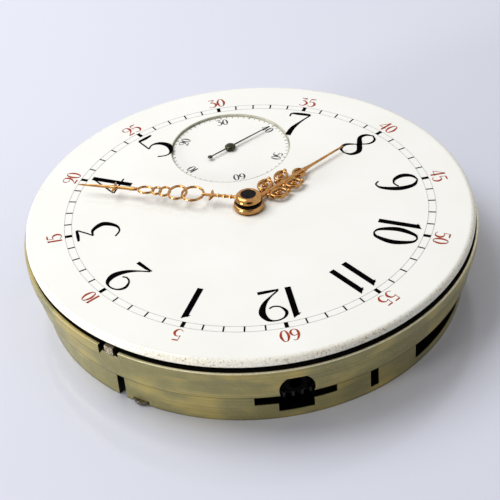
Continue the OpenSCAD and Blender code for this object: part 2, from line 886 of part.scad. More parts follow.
// A bent flat spring whose root is riveted to the plate
module yoke_spring() {
    color(blued) {
        slab(z_yoke, z_yoke + yoke_t) {
            bar(spring_root, spring_bend, 0.5, 0.16);
            bar(spring_bend, spring_tip, 0.16, 0.12);
        }
        turned(spring_root, [[z_floor, z_yoke + yoke_t, 0.8]]);
    }
}

// The winding work

module winding_arbor() {
    color(steel)
        difference() {
            union() {
                on_stem(arbor_in, arbor_in + bearing_len + 0.2, arbor_pivot_r);
                square_on_stem(arbor_in + bearing_len + play, winding_in + jaw_h + 0.1, square_w);
                on_stem(winding_in + jaw_h, winding_out + 0.1, winding_bore);
                on_stem(winding_out, arbor_out, 1.05);
            }
            on_stem(arbor_out - socket_len, arbor_out + 1, socket_r);
        }
}

module winding_pinion() {
    color(steel)
        difference() {
            union() {
                translate([0, winding_in + jaw_h, z_stem])
                    rotate([-90, 0, 0])
                        rotate(winding_phase)
                            linear_extrude(winding_out - winding_in - jaw_h)
                                polygon(gear_points(winding_leaves, winding_m));
                jaws(winding_in, winding_in + jaw_h, 1.2, square_w / sqrt(2) + 0.05,
                    winding_leaves, 0.42, 0);
            }
            on_stem(winding_in - 1, winding_out + 1, winding_bore);
        }
}

module clutch() {
    color(steel)
        difference() {
            union() {
                on_stem(clutch_in + jaw_h, clutch_out, clutch_r);
                jaws(clutch_out, clutch_out + jaw_h, 1.2, square_w / sqrt(2) + 0.05,
                    winding_leaves, 0.42, 180 / winding_leaves);
                jaws(clutch_in, clutch_in + jaw_h, clutch_r, groove_r, 14, 0.9, 0);
            }
            difference() {
                on_stem(groove_y - groove_w / 2, groove_y + groove_w / 2, clutch_r + 1);
                on_stem(groove_y - groove_w, groove_y + groove_w, groove_r);
            }
            square_on_stem(clutch_in - 1, clutch_out + 1, square_w + 2 * play);
        }
}

crown_web = 0.2;
core_r = 1.1;

module crown_wheel() {
    color(steel)
        translate([crown.x, crown.y, 0])
            difference() {
                slab(z_winding, z_winding + winding_t)
                    rotate(crown_phase)
                        polygon(gear_points(crown_n, winding_m));
                turned(centre, [[z_winding + crown_web, z_plate, gear_root(crown_n, winding_m)]]);
                turned(centre, [[z_winding - 1, z_plate, core_r + play]]);
            }
}

module crown_wheel_core() {
    color(steel)
        turned(crown, [[0.6, barrel_floor_t, 0.5], [barrel_floor_t, z_winding + crown_web, core_r],
            [z_winding + crown_web, z_winding + crown_web + 0.1, core_r + 0.4]]);
}

ratchet_square = 1.1;

module ratchet_wheel() {
    color(steel)
        translate([barrel_axis.x, barrel_axis.y, 0])
            rotate(ratchet_phase)
                difference() {
                    slab(z_winding, z_winding + winding_t)
                        polygon(gear_points(ratchet_n, winding_m));
                    translate([-ratchet_square / 2, -ratchet_square / 2, 0])
                        cube([ratchet_square, ratchet_square, z_plate]);
                }
}

click_t = 0.4;
ratchet_tip = gear_tip(ratchet_n, winding_m);
click_bearing = 100;
click_axis = barrel_axis + (ratchet_tip + 1.75) * [cos(click_bearing), sin(click_bearing)];
click_nose = barrel_axis + (ratchet_tip + 0.28) * [cos(click_bearing + 14), sin(click_bearing + 14)];

module click() {
    color(steel)
        difference() {
            union() {
                turned(click_axis, [[z_winding, z_winding + click_t, 0.95]]);
                slab(z_winding, z_winding + click_t)
                    bar(click_axis, click_nose, 0.9, 0.22);
            }
            turned(click_axis, [[0, z_plate, 0.4 + play]]);
        }
}

module click_screw() {
    color(steel)
        turned(click_axis, [[0.8, z_winding + click_t + play, 0.4],
            [z_winding + click_t + play, z_winding + click_t + 0.25, 0.75]]);
}

click_spring_root = barrel_axis + (ratchet_tip + 1.2) * [cos(134), sin(134)];

module click_spring() {
    color(blued)
        union() {
            turned(click_spring_root, [[barrel_floor_t, z_winding + click_t - 0.05, 0.6]]);
            slab(z_winding, z_winding + click_t - 0.05)
                bar(click_spring_root, click_axis + [-1.3, -0.1], 0.3, 0.1);
        }
}

// The barrel and its spring

barrel_body_r = gear_root(barrel_n, barrel_m);
barrel_in_r = barrel_body_r - barrel_wall;
barrel_top = z_barrel + barrel_h;
drum_floor = 0.4;

module barrel_drum() {
    color(gilt)
        translate([barrel_axis.x, barrel_axis.y, 0])
            difference() {
                union() {
                    turned(centre, [[z_barrel, barrel_top, barrel_body_r]]);
                    slab(barrel_top - drum_floor, barrel_top)
                        rotate(barrel_phase)
                            polygon(gear_points(barrel_n, barrel_m));
                }
                turned(centre, [[z_barrel - 1, barrel_top - drum_floor, barrel_in_r]]);
                turned(centre, [[z_barrel - 1, barrel_top + 1, barrel_pivot_r + play]]);
            }
}

module barrel_cover() {
    color(gilt)
        difference() {
            turned(barrel_axis, [[z_barrel, z_barrel + cover_t, barrel_in_r]]);
            turned(barrel_axis, [[z_barrel - 1, z_barrel + 1, barrel_pivot_r + play]]);
        }
}

module barrel_arbor() {
    inside = z_barrel + cover_t + 0.05;
    color(steel) {
        turned(barrel_axis, [[z_pivot_low, z_winding, barrel_pivot_r],
            [z_winding + winding_t, inside, barrel_pivot_r],
            [inside, barrel_top - drum_floor - 0.05, hub_r],
            [barrel_top - drum_floor - 0.05, z_web + 0.4, barrel_pivot_r]]);
        translate([barrel_axis.x, barrel_axis.y, z_winding])
            rotate(ratchet_phase)
                translate([-ratchet_square / 2, -ratchet_square / 2, 0])
                    cube([ratchet_square, ratchet_square, winding_t]);
    }
}

main_in_r = hub_r + 0.25;
main_out_r = barrel_in_r - mainspring_t / 2 - 0.05;
main_total = mainspring_turns * 360 + 45;
main_pitch = (main_out_r - main_in_r) / mainspring_turns;

module mainspring() {
    color(blued)
        translate([barrel_axis.x, barrel_axis.y, 0])
            slab(z_barrel + cover_t + 0.1, barrel_top - drum_floor - 0.1)
                polygon(spiral_points(main_total, main_in_r, main_pitch, main_out_r, 0, mainspring_t));
}

// The going train

module centre_wheel() {
    color(gilt)
        train_wheel(centre, z_centre, wheel_t, centre_n, centre_m, 1, centre_phase);
}

centre_leaf_top = z_barrel + barrel_h + 0.05;

module centre_arbor() {
    color(steel) {
        turned(centre, [[z_pivot_low, train_floor_t + 0.1, pivot_r + 0.12],
            [train_floor_t + 0.1, cannon_top - 0.35, centre_arbor_r],
            [z_centre, z_centre + wheel_t, 1]]);
        slab(barrel_top - drum_floor - 0.1, centre_leaf_top)
            rotate(mate(barrel_phase, barrel_n, centre_leaves, barrel_phase))
                polygon(gear_points(centre_leaves, barrel_m));
        turned(centre, [[centre_leaf_top, z_centre, 0.9]]);
    }
}

train_seat_r = 0.45;

module third_wheel() {
    color(gilt)
        train_wheel(third, z_third, wheel_t, third_n, third_m, train_seat_r, third_phase);
}

module third_pinion() {
    color(steel)
        pinion_arbor(third, z_centre - pinion_over, z_centre + wheel_t + pinion_over / 2, train_leaves,
            centre_m, mate(centre_phase, centre_n, train_leaves, centre_phase), z_third, wheel_t,
            train_seat_r, z_pivot_top);
}

module fourth_wheel() {
    color(gilt)
        train_wheel(fourth, z_fourth, fourth_t, fourth_n, fourth_m, train_seat_r, fourth_phase);
}

module fourth_pinion() {
    color(steel) {
        pinion_arbor(fourth, z_third - pinion_over, z_third + wheel_t + pinion_over, train_leaves,
            third_m, mate(third_phase, third_n, train_leaves, third_phase), z_fourth, fourth_t,
            train_seat_r, z_web);
        turned(fourth, [[z_web - room, z_seconds_hand + 0.1, seconds_pivot_r]]);
    }
}

// One pointed tooth of the escape wheel, as steps of radius and angle
escape_steps = [[-0.62, -9], [-0.56, 1.5], [0, 3.2], [-0.04, 5.6], [-0.3, 6.4], [-0.62, 8]];

module escape_wheel() {
    color(steel)
        translate([escape.x, escape.y, 0])
            rotate(line_angle + 180 / escape_n - 4.4)
                slab(z_escape, z_escape + escape_t)
                    difference() {
                        polygon([for (i = [0 : escape_n - 1], s = escape_steps)
                            (escape_tip + s[0]) * [cos(i * 360 / escape_n + s[1]),
                                sin(i * 360 / escape_n + s[1])]]);
                        circle(train_seat_r);
                        difference() {
                            ring(escape_tip - 1, 0.8);
                            for (i = [0 : 3])
                                rotate(i * 90)
                                    translate([0, -0.2])
                                        square([escape_tip, 0.4]);
                        }
                    }
}

module escape_pinion() {
    color(steel)
        pinion_arbor(escape, z_fourth - 0.1, z_fourth + fourth_t + 0.1, escape_leaves, fourth_m,
            mate(fourth_phase, fourth_n, escape_leaves, fourth_phase), z_escape, escape_t,
            train_seat_r, z_pivot_top);
}

// The lever escapement, drawn with the pallet arbor at the origin and the balance on +X

stone_gap = 0.06;
stone_len = 1.0;
stone_w = 0.3;
fork_t = 0.2;
fork_reach = fork_len - roller_jewel_d;
roller_jewel_r = 0.18;
stone_seat = [(escape_tip + 0.9) * cos(30) - escape_pallet, (escape_tip + 0.9) * sin(30)];

module at_pallet() {
    translate([pallet.x, pallet.y, 0])
        rotate(line_angle)
            children();
}

module stones_2d() {
    for (s = [-1, 1])
        translate([-escape_pallet, 0])
            rotate(s * 30)
                translate([escape_tip + stone_gap, -stone_w / 2])
                    square([stone_len, stone_w]);
}

module pallet_fork() {
    top = z_escape + fork_t;
    color(steel)
        at_pallet()
            difference() {
                union() {
                    for (s = [-1, 1])
                        slab(z_escape, top)
                            bar([0, 0], [stone_seat.x, s * stone_seat.y], 0.45, 0.42);
                    slab(z_escape, top)
                        bar([0, 0], [fork_reach - 0.5, 0], 0.3, 0.18);
                    slab(z_escape, top)
                        translate([fork_reach - 0.6, -0.55])
                            square([0.9, 1.1]);
                }
                turned(centre, [[0, z_web, 0.25]]);
                slab(0, z_web)
                    translate([fork_reach - 0.3, -roller_jewel_r - 0.06])
                        square([1, 2 * roller_jewel_r + 0.12]);
                slab(0, z_web)
                    stones_2d();
            }
}

module pallet_stones() {
    color(ruby)
        at_pallet()
            slab(z_escape - 0.08, z_escape + fork_t + 0.08)
                stones_2d();
}

z_pallet_bridge = z_escape - 0.75;
pallet_bridge_t = 0.4;

module pallet_arbor() {
    color(steel)
        turned(pallet, [[z_pallet_bridge + 0.05, z_pallet_bridge + pallet_bridge_t + 0.05, pivot_r],
            [z_pallet_bridge + pallet_bridge_t + 0.05, z_escape, 0.35],
            [z_escape, z_escape + fork_t, 0.25], [z_escape + fork_t, z_web - room, 0.3],
            [z_web - room, z_pivot_top, pivot_r]]);
}

pallet_foot = pallet + plan * 4.2 * [sin(line_angle), -cos(line_angle)];

module pallet_bridge() {
    color(nickel)
        difference() {
            union() {
                slab(z_pallet_bridge, z_pallet_bridge + pallet_bridge_t)
                    bar(pallet, pallet_foot, 0.8, 1.1);
                turned(pallet_foot, [[z_pallet_bridge, z_web, 1.1]]);
            }
            turned(pallet, [[0, z_web, pivot_r + play]]);
        }
}

// The balance

module balance_wheel() {
    cut = 0.5;
    color(gilt)
        translate([balance.x, balance.y, 0])
            rotate(line_angle)
                difference() {
                    union() {
                        slab(z_balance, z_balance + balance_rim_h)
                            difference() {
                                ring(rim_r, rim_r - balance_rim_w);
                                for (s = [0, 180])
                                    rotate(s + 17)
                                        translate([0, -cut / 2])
                                            square([2 * rim_r, cut]);
                            }
                        slab(z_arm, z_arm + arm_t)
                            difference() {
                                union() {
                                    translate([-rim_r + balance_rim_w / 2, -0.45])
                                        square([2 * rim_r - balance_rim_w, 0.9]);
                                    circle(1.2);
                                }
                                circle(staff_seat_r);
                            }
                    }
                }
}

staff_seat_r = 0.45;
staff_r = 0.3;
balance_screw_r = 0.28;
balance_screw_len = 0.4;

module balance_screws() {
    color(gilt)
        for (s = [0, 180], i = [0 : screw_pairs - 1])
            translate([balance.x, balance.y, z_balance + balance_rim_h / 2])
                rotate(line_angle + s + 32 + i * 136 / (screw_pairs - 1))
                    rotate([0, 90, 0])
                        translate([0, 0, rim_r - 0.1])
                            cylinder(h = balance_screw_len + 0.1, r = balance_screw_r);
}

collet_r = 0.7;

module balance_staff() {
    color(steel)
        turned(balance, [[z_cock + 0.1, z_cock + cock_t + 0.05, pivot_r],
            [z_cock + cock_t + 0.05, z_arm, staff_r], [z_arm, z_arm + arm_t, staff_seat_r],
            [z_arm + arm_t, z_web - room, staff_r], [z_web - room, z_pivot_top, pivot_r]]);
}

module roller_table() {
    color(steel)
        difference() {
            turned(balance, [[z_roller, z_roller + roller_t, 1.25]]);
            turned(balance, [[0, z_web, staff_r]]);
            at_jewel()
                turned(centre, [[0, z_web, roller_jewel_r]]);
        }
}

module at_jewel() {
    translate([balance.x, balance.y, 0])
        rotate(line_angle + 180)
            translate([roller_jewel_d, 0, 0])
                children();
}

module roller_jewel() {
    color(ruby)
        at_jewel()
            turned(centre, [[z_roller, z_escape + fork_t + 0.05, roller_jewel_r]]);
}

module hairspring_collet() {
    color(gilt)
        difference() {
            turned(balance, [[z_hairspring - 0.02, z_hairspring + hairspring_h + 0.05, collet_r]]);
            turned(balance, [[0, z_web, staff_r]]);
        }
}

// The hairspring starts just off its collet and ends in a round arc at its stud
hairspring_in_r = collet_r + 0.08;
hairspring_out_r = hairspring_in_r + hairspring_pitch * hairspring_turns;
hairspring_arc = 75;
hairspring_total = hairspring_turns * 360 + hairspring_arc;
cock_foot = clock(74, screw_d);
stud_bearing = bearing(balance, cock_foot);

module hairspring() {
    color(blued)
        translate([balance.x, balance.y, 0])
            slab(z_hairspring, z_hairspring + hairspring_h)
                polygon(spiral_points(hairspring_total, hairspring_in_r, hairspring_pitch,
                    hairspring_out_r, stud_bearing + 3, hairspring_t));
}

module hairspring_stud() {
    stud_half = 0.25;
    color(steel)
        translate([balance.x, balance.y, z_cock + cock_t])
            rotate(stud_bearing)
                translate([hairspring_out_r - stud_half, -stud_half, 0])
                    cube([2 * stud_half, 2 * stud_half, hairspring_h + 0.15]);
}

spring_gaps = [spiral_gap(hairspring_total - hairspring_arc, hairspring_in_r, hairspring_pitch,
    hairspring_out_r, hairspring_t),
    spiral_gap(main_total - 45, main_in_r, main_pitch, main_out_r, mainspring_t)];
echo(least_gap_of_hairspring_and_mainspring = spring_gaps);

// The bridges

// Where the barrel bridge meets the train bridge and the balance cock
parting = [clock(47.3, 2 * flange_r), plan * [3.2, 4.7], plan * [-1.5, 2.4],
    plan * [-9, 0.2], clock(263, 2 * flange_r)];
balance_open_r = rim_r + balance_screw_len + 0.4;

module barrel_side() {
    polygon(concat(parting, [for (a = [270 : 15 : 405]) clock(a, 2 * flange_r)]));
}

module screw_holes(angles) {
    for (a = angles) {
        turned(clock(a, screw_d), [[-1, 0.55, screw_head_r + play], [0, z_plate + 1, screw_r]]);
    }
}

module case_screw_seat() {
    for (a = case_screw_angles)
        turned(clock(a, case_screw_d), [[-1, case_head_h, case_head_r + play], [0, 2.4, 0.5]]);
}

case_screw_d = bridge_r - 0.75;
case_head_r = 1.1;
case_head_h = 0.5;

module case_screws() {
    color(steel)
        for (a = case_screw_angles)
            turned(clock(a, case_screw_d), [[0.05, case_head_h, case_head_r], [case_head_h, 2.4, 0.5]]);
}

module barrel_bridge() {
    color(nickel)
        difference() {
            slab(0, bridge_h)
                intersection() {
                    circle(bridge_r);
                    translate([0, bridge_gap / 2])
                        barrel_side();
                }
            turned(centre, [[barrel_floor_t, z_plate + 1, wall_r]]);
            turned(crown, [[barrel_floor_t, z_plate + 1, gear_tip(crown_n, winding_m) + room]]);
            translate([-crown_slot_w / 2, wall_r - 1, z_slot])
                cube([crown_slot_w, 12, crown_slot_h]);
            translate([-stem_hole_r, wall_r - 0.7, notch_lip])
                cube([2 * stem_hole_r, 6, bridge_h]);
            rotate(-slit_angle)
                translate([-slit_w / 2, wall_r - 0.6, slit_lip])
                    cube([slit_w, 4, bridge_h]);
            slab(window_lip, window_lip + window_h)
                intersection() {
                    ring(bridge_r + 1, wall_r - 1.2);
                    wedge(window_angle - window_span / 2, window_angle + window_span / 2);
                }
            turned(barrel_axis, [[-1, z_plate, barrel_pivot_r + play]]);
            turned(crown, [[0.6, z_plate, 0.5]]);
            turned(click_axis, [[0.8, z_plate, 0.4]]);
            screw_holes([bridge_screw_angles[0], bridge_screw_angles[1]]);
            case_screw_seat();
        }
}

z_slot = z_winding - 0.35;
slit_lip = 0.55;

// The train bridge's outline, from the rim at nine o'clock along the parting and round the balance
train_edge = [parting[4], parting[3], parting[2], parting[1], plan * [5.2, 2.2], balance];

module train_side() {
    intersection() {
        circle(bridge_r);
        translate([0, -bridge_gap / 2])
            polygon(concat(train_edge, [for (a = [158 : 15 : 263]) clock(a, 2 * flange_r)]));
    }
}

train_screws = [bridge_screw_angles[2], bridge_screw_angles[3]];

module train_bridge() {
    color(nickel)
        difference() {
            slab(0, bridge_h)
                train_side();
            turned(centre, [[train_floor_t, z_plate + 1, wall_r]]);
            turned(balance, [[-1, z_plate + 1, balance_open_r]]);
            for (p = [third, fourth, escape, centre])
                turned(p, [[-1, z_plate, jewel_r]]);
            screw_holes(train_screws);
            case_screw_seat();
        }
}

module bridge_jewels() {
    color(ruby) {
        for (p = [third, fourth, escape])
            jewel(p, z_pivot_low, pivot_r + play);
        jewel(centre, z_pivot_low, pivot_r + 0.12 + play);
        jewel(balance, z_cock + room, pivot_r + play);
    }
}

cock_sector = [47.3, 100];
cock_in_r = plan * 14.6;
cock_neck = clock(74, plan * 15.6);

module balance_cock() {
    color(nickel)
        difference() {
            union() {
                slab(0, bridge_h)
                    intersection() {
                        difference() {
                            circle(bridge_r);
                            circle(cock_in_r);
                        }
                        wedge(cock_sector[0], cock_sector[1]);
                    }
                slab(z_cock, z_cock + cock_t)
                    bar(balance, cock_neck, 1.9, 2.8);
            }
            difference() {
                turned(balance, [[z_cock + cock_t, z_plate + 1, balance_open_r],
                    [-1, z_cock, balance_open_r]]);
            }
            difference() {
                turned(balance, [[z_cock - 0.01, z_cock + cock_t + 0.01, balance_open_r]]);
                slab(0, bridge_h)
                    bar(balance, cock_neck, 1.9, 2.8);
            }
            turned(balance, [[-1, z_plate, jewel_r]]);
            screw_holes([bridge_screw_angles[4]]);
        }
}

curb_bearing = stud_bearing + 58;

module regulator() {
    color(steel)
        translate([balance.x, balance.y, 0]) {
            slab(0.08, z_cock - 0.02) {
                ring(1.5, 1.0);
                rotate(curb_bearing)
                    translate([1.2, -0.3])
                        square([hairspring_out_r - 0.8, 0.6]);
                rotate(curb_bearing + 180)
                    polygon([[1.2, -0.3], [1.2, 0.3], [4.4, 0.08], [4.4, -0.08]]);
            }
            for (s = [-1, 1])
                rotate(curb_bearing)
                    turned([hairspring_out_r + s * (hairspring_t / 2 + 0.14), 0],
                        [[z_cock - 0.02, z_hairspring + hairspring_h, 0.1]]);
        }
}

module bridge_screws() {
    color(blued)
        for (a = bridge_screw_angles)
            back_screw(clock(a, screw_d), screw_head_r, 0.55, screw_r, screw_top);
}

dial();
seconds_dial();
dial_feet();
dial_foot_screws();
hour_hand();
minute_hand();
seconds_hand();
dial_washer();
hour_wheel();
minute_wheel();
cannon_pinion();
setting_wheel();
motion_posts();
pillar_plate();
plate_jewels();
setting_lever();
setting_lever_screw();
yoke();
yoke_screw();
yoke_spring();
winding_arbor();
winding_pinion();
clutch();
crown_wheel();
crown_wheel_core();
ratchet_wheel();
click();
click_screw();
click_spring();
barrel_drum();
barrel_cover();
barrel_arbor();
mainspring();
centre_wheel();
centre_arbor();
third_wheel();
third_pinion();
fourth_wheel();
fourth_pinion();
escape_wheel();
escape_pinion();
pallet_fork();
pallet_stones();
pallet_arbor();
pallet_bridge();
balance_wheel();
balance_screws();
balance_staff();
roller_table();
roller_jewel();
hairspring_collet();
hairspring();
hairspring_stud();
barrel_bridge();
train_bridge();
balance_cock();
bridge_jewels();
regulator();
bridge_screws();
case_screws();
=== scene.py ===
# A pocket watch movement lying dial up on a white bench, put together from its bridges to its hands.
import json
import math

import bmesh
import bpy
from mathutils import Matrix, Vector


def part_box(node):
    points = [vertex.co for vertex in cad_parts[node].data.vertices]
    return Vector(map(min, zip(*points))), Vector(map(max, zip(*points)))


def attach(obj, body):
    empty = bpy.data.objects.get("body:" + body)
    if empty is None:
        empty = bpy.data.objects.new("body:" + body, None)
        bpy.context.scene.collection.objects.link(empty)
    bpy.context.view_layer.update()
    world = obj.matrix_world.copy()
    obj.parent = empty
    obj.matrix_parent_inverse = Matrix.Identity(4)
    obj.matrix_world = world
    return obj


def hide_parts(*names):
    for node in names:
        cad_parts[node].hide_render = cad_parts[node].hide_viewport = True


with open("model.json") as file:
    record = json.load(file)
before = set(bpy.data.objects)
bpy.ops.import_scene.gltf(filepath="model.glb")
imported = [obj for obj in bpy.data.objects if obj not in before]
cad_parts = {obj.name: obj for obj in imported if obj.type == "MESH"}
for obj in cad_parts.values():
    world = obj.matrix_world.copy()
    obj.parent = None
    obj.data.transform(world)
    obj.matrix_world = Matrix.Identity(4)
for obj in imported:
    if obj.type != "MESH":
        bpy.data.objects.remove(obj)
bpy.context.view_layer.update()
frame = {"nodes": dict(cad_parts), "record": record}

bpy.context.scene.view_settings.view_transform = "Standard"

# The bench: a glossy white sheet under soft, even light, as small things are photographed on.
# A wide softbox hangs over it, a smaller one stands at the side, and white walls fill in the rest.
MM = 0.001


def paint(r, g, b):
    """A colour as a painter reads it off a chart, 0 to 255, turned into light."""
    shares = [c / 255 for c in (r, g, b)]
    return tuple(c / 12.92 if c < 0.0404 else ((c + 0.055) / 1.055) ** 2.4 for c in shares) + (1,)


class Wiring:
    """The nodes that make a finish or the room's light, and the wires between them."""

    def __init__(self, tree):
        self.nodes, self.links = tree.nodes, tree.links

    def give(self, node, sockets):
        """Gives each named socket of a node a number, a colour, or what another node makes."""
        for socket, value in sockets.items():
            if isinstance(value, bpy.types.NodeSocket):
                self.links.new(value, node.inputs[socket])
            else:
                node.inputs[socket].default_value = value

    def add(self, kind, sockets):
        """A new node, with what its sockets take."""
        made = self.nodes.new("ShaderNode" + kind)
        self.give(made, sockets)
        return made


class Coat(Wiring):
    """A finish in the making: its material, the shader that it ends in, and the places on the piece."""

    def __init__(self, name):
        self.material = bpy.data.materials.new(name)
        self.material.use_nodes = True
        super().__init__(self.material.node_tree)
        self.shader = self.nodes["Principled BSDF"]
        spot = self.add("TexCoord", {})
        self.where, self.facing = spot.outputs["Object"], spot.outputs["Normal"]


def noise(coat, scale, detail, stretch=(1, 1, 1)):
    """A cloud of tones on the piece, drawn out by stretch."""
    drawn = coat.add("Mapping", {"Vector": coat.where, "Scale": stretch})
    cloud = coat.add("TexNoise", {"Vector": drawn.outputs["Vector"], "Scale": scale, "Detail": detail})
    return cloud.outputs["Fac"]


def tones(coat, value, *stops):
    """Colours along a value: each stop is a place from 0 to 1 and its colour."""
    ramp = coat.add("ValToRGB", {"Fac": value})
    while len(ramp.color_ramp.elements) < len(stops):
        ramp.color_ramp.elements.new(1)
    for element, (place, colour) in zip(ramp.color_ramp.elements, stops):
        element.position = place
        element.color = colour
    return ramp.outputs["Color"]


def sheet(name, coat, half_along, half_across):
    """A flat sheet that reaches this far out from its middle, along two directions."""
    a, b = Vector(half_along), Vector(half_across)
    mesh = bpy.data.meshes.new(name)
    mesh.from_pydata([-a - b, a - b, a + b, b - a], [], [(0, 1, 2, 3)])
    mesh.materials.append(coat.material)
    made = bpy.data.objects.new(name, mesh)
    bpy.context.collection.objects.link(made)
    return made


bench_coat = Coat("white_bench")
bench_haze = noise(bench_coat, scale=9, detail=1)
bench_tint = tones(bench_coat, bench_haze, (0.3, paint(218, 221, 236)), (0.7, paint(223, 226, 241)))
bench_coat.give(bench_coat.shader, {"Base Color": bench_tint, "Roughness": 0.14, "Specular IOR Level": 0.5})
bench_half, bench_gap = 1.2, 0.02 * MM
bench = sheet("bench", bench_coat, (bench_half, 0, 0), (0, bench_half, 0))
bench.location.z = -bench_gap

room_light = bpy.data.worlds.new("white_room")
room_light.use_nodes = True
bpy.context.scene.world = room_light
room = Wiring(room_light.node_tree)
lit_white = room.nodes["Background"]
room.give(lit_white, {"Color": (1, 0.975, 0.92, 1), "Strength": 0.46})
seen_white = room.add("Background", {"Color": paint(240, 241, 249), "Strength": 1})
ray = room.add("LightPath", {}).outputs
straight_ray = room.add("Math", {0: ray["Is Camera Ray"], 1: ray["Is Transmission Ray"]})
seeing_ray = room.add("Math", {0: straight_ray.outputs[0], 1: ray["Is Glossy Ray"]})
straight_ray.operation = seeing_ray.operation = "MAXIMUM"
pick = room.add("MixShader", {0: seeing_ray.outputs[0], 1: lit_white.outputs[0], 2: seen_white.outputs[0]})
room.give(room.nodes["World Output"], {"Surface": pick.outputs[0]})


def softbox(name, place, aim, size, power, colour):
    """A square softbox at place that faces aim."""
    lamp = bpy.data.lights.new(name, "AREA")
    lamp.size = size
    lamp.energy = power
    lamp.color = colour
    stand = bpy.data.objects.new(name, lamp)
    stand.location = place
    stand.rotation_euler = (Vector(place) - Vector(aim)).to_track_quat("Z", "Y").to_euler()
    bpy.context.collection.objects.link(stand)


softbox("overhead_softbox", (0.14, -0.1, 0.26), (0, 0, 0), size=0.2, power=0.66, colour=(0.98, 0.987, 1))
softbox("side_softbox", (0.3, 0.12, 0.045), (0, 0, 0), size=0.08, power=0.78, colour=(1, 0.985, 0.96))

# A black card stands behind the camera, so that polished gold and steel have something dark to reflect.
# It is cloth on a frame, and thins out to its edges, so that its reflection ends softly.
card_half_wide, card_half_tall, card_dense_from = 0.22, 0.32, 0.38
card_coat = Coat("black_card")
card_fibre = card_coat.add("TexNoise", {"Scale": 40}).outputs["Fac"]
card_oval = card_coat.add("Mapping", {"Vector": card_coat.where,
                                      "Scale": (1 / card_half_wide, 1, 1 / card_half_tall)})
card_fade = card_coat.add("TexGradient", {"Vector": card_oval.outputs["Vector"]})
card_fade.gradient_type = "SPHERICAL"
card_weave = card_coat.add("ValToRGB", {"Fac": card_fade.outputs["Fac"]})
card_weave.color_ramp.interpolation = "EASE"
card_weave.color_ramp.elements[1].position = card_dense_from
card_coat.give(card_coat.shader, {
    "Base Color": tones(card_coat, card_fibre, (0, paint(26, 24, 22)), (1, paint(38, 35, 32))),
    "Roughness": 0.9,
    "Alpha": card_weave.outputs["Color"],
})
card = sheet("black_card", card_coat, (card_half_wide, 0, 0), (0, 0, card_half_tall))
card.location = (0.03, 0.3, 0.3)
card.visible_camera = False

# The camera looks down from the twelve o'clock side, a little to the three o'clock side, and leans
# a few degrees, so that the stem's opening is in front and the dial's numbers stand on their heads.
across = Vector((-0.99075, 0.13568, 0))
upward = Vector((-0.08509, -0.62134, 0.77890))
backward = Vector((0.10568, 0.77170, 0.62714))
camera_place = Vector((14.755, 105.861, 88.764)) * MM
lean = math.radians(4.6)
sensor_wide, picture_wide, focal_length = 36, 500, 1397.37
camera_x = math.cos(lean) * across - math.sin(lean) * upward
camera_y = math.sin(lean) * across + math.cos(lean) * upward
camera = bpy.data.objects.new("camera", bpy.data.cameras.new("camera"))
camera.data.sensor_width = sensor_wide
camera.data.lens = sensor_wide * focal_length / picture_wide
camera.data.clip_start = 5 * MM
camera.matrix_world = Matrix.Translation(camera_place) @ Matrix(
    (camera_x, camera_y, backward)).transposed().to_4x4()
bpy.context.collection.objects.link(camera)
bpy.context.scene.camera = camera

# The plate and its bridges: thick brass, turned on a lathe, drilled, and plated in a warm nickel gilding.
# The edges keep the lathe's fine lines and a century of handling, painted shade blackens the ledge under the
# dial and the rim's openings, and the backs of the bridges carry the usual straight stripes.
movement_tall, bridge_seam, under_flange, flange_top = 8 * MM, 3.34 * MM, 5.74 * MM, 6.78 * MM
bridge_edge, plate_edge, flange_lip, rim_skin = 20.5 * MM, 21.2 * MM, 21.6 * MM, 0.08 * MM
open_from, cut_from = 17.5 * MM, 18.4 * MM


def reach(coat, value, start, end, low=0.0, high=1.0):
    """A number that goes from low to high while value goes from start to end."""
    return coat.add("MapRange", {"Value": value, "From Min": start, "From Max": end, "To Min": low,
                                 "To Max": high}).outputs["Result"]


def reckon(coat, how, *numbers):
    """What one rule of arithmetic makes of one or two numbers."""
    made = coat.add("Math", dict(enumerate(numbers)))
    made.operation = how
    return made.outputs[0]


def times(coat, number, *others):
    """All the numbers multiplied."""
    for other in others:
        number = reckon(coat, "MULTIPLY", number, other)
    return number


def steer(coat, how, *directions):
    """What one rule makes of one or two directions."""
    made = coat.add("VectorMath", dict(enumerate(directions)))
    made.operation = how
    return made.outputs


def layer(coat, share, under, over, how="MIX"):
    """One colour laid over another by a share from 0 to 1."""
    made = coat.add("Mix", {})
    made.data_type = "RGBA"
    made.blend_type = how
    coat.give(made, {"Factor": share, "A": under, "B": over})
    return made.outputs["Result"]


def radius_of(coat, middle=(0, 0)):
    """The distance of a place from an upright axis."""
    moved = steer(coat, "SUBTRACT", coat.where, (*middle, 0))["Vector"]
    flat = steer(coat, "MULTIPLY", moved, (1, 1, 0))["Vector"]
    return steer(coat, "LENGTH", flat)["Value"]


def soft_edges(coat, width):
    """The normal of a piece whose sharp edges were broken with a file."""
    broken = coat.add("Bevel", {"Radius": width})
    broken.samples = 6
    return broken.outputs["Normal"]


def relief(coat, height, strength, distance, normal):
    """The normal of a surface that rises and falls with height."""
    return coat.add("Bump", {"Height": height, "Strength": strength, "Distance": distance,
                             "Normal": normal}).outputs["Normal"]


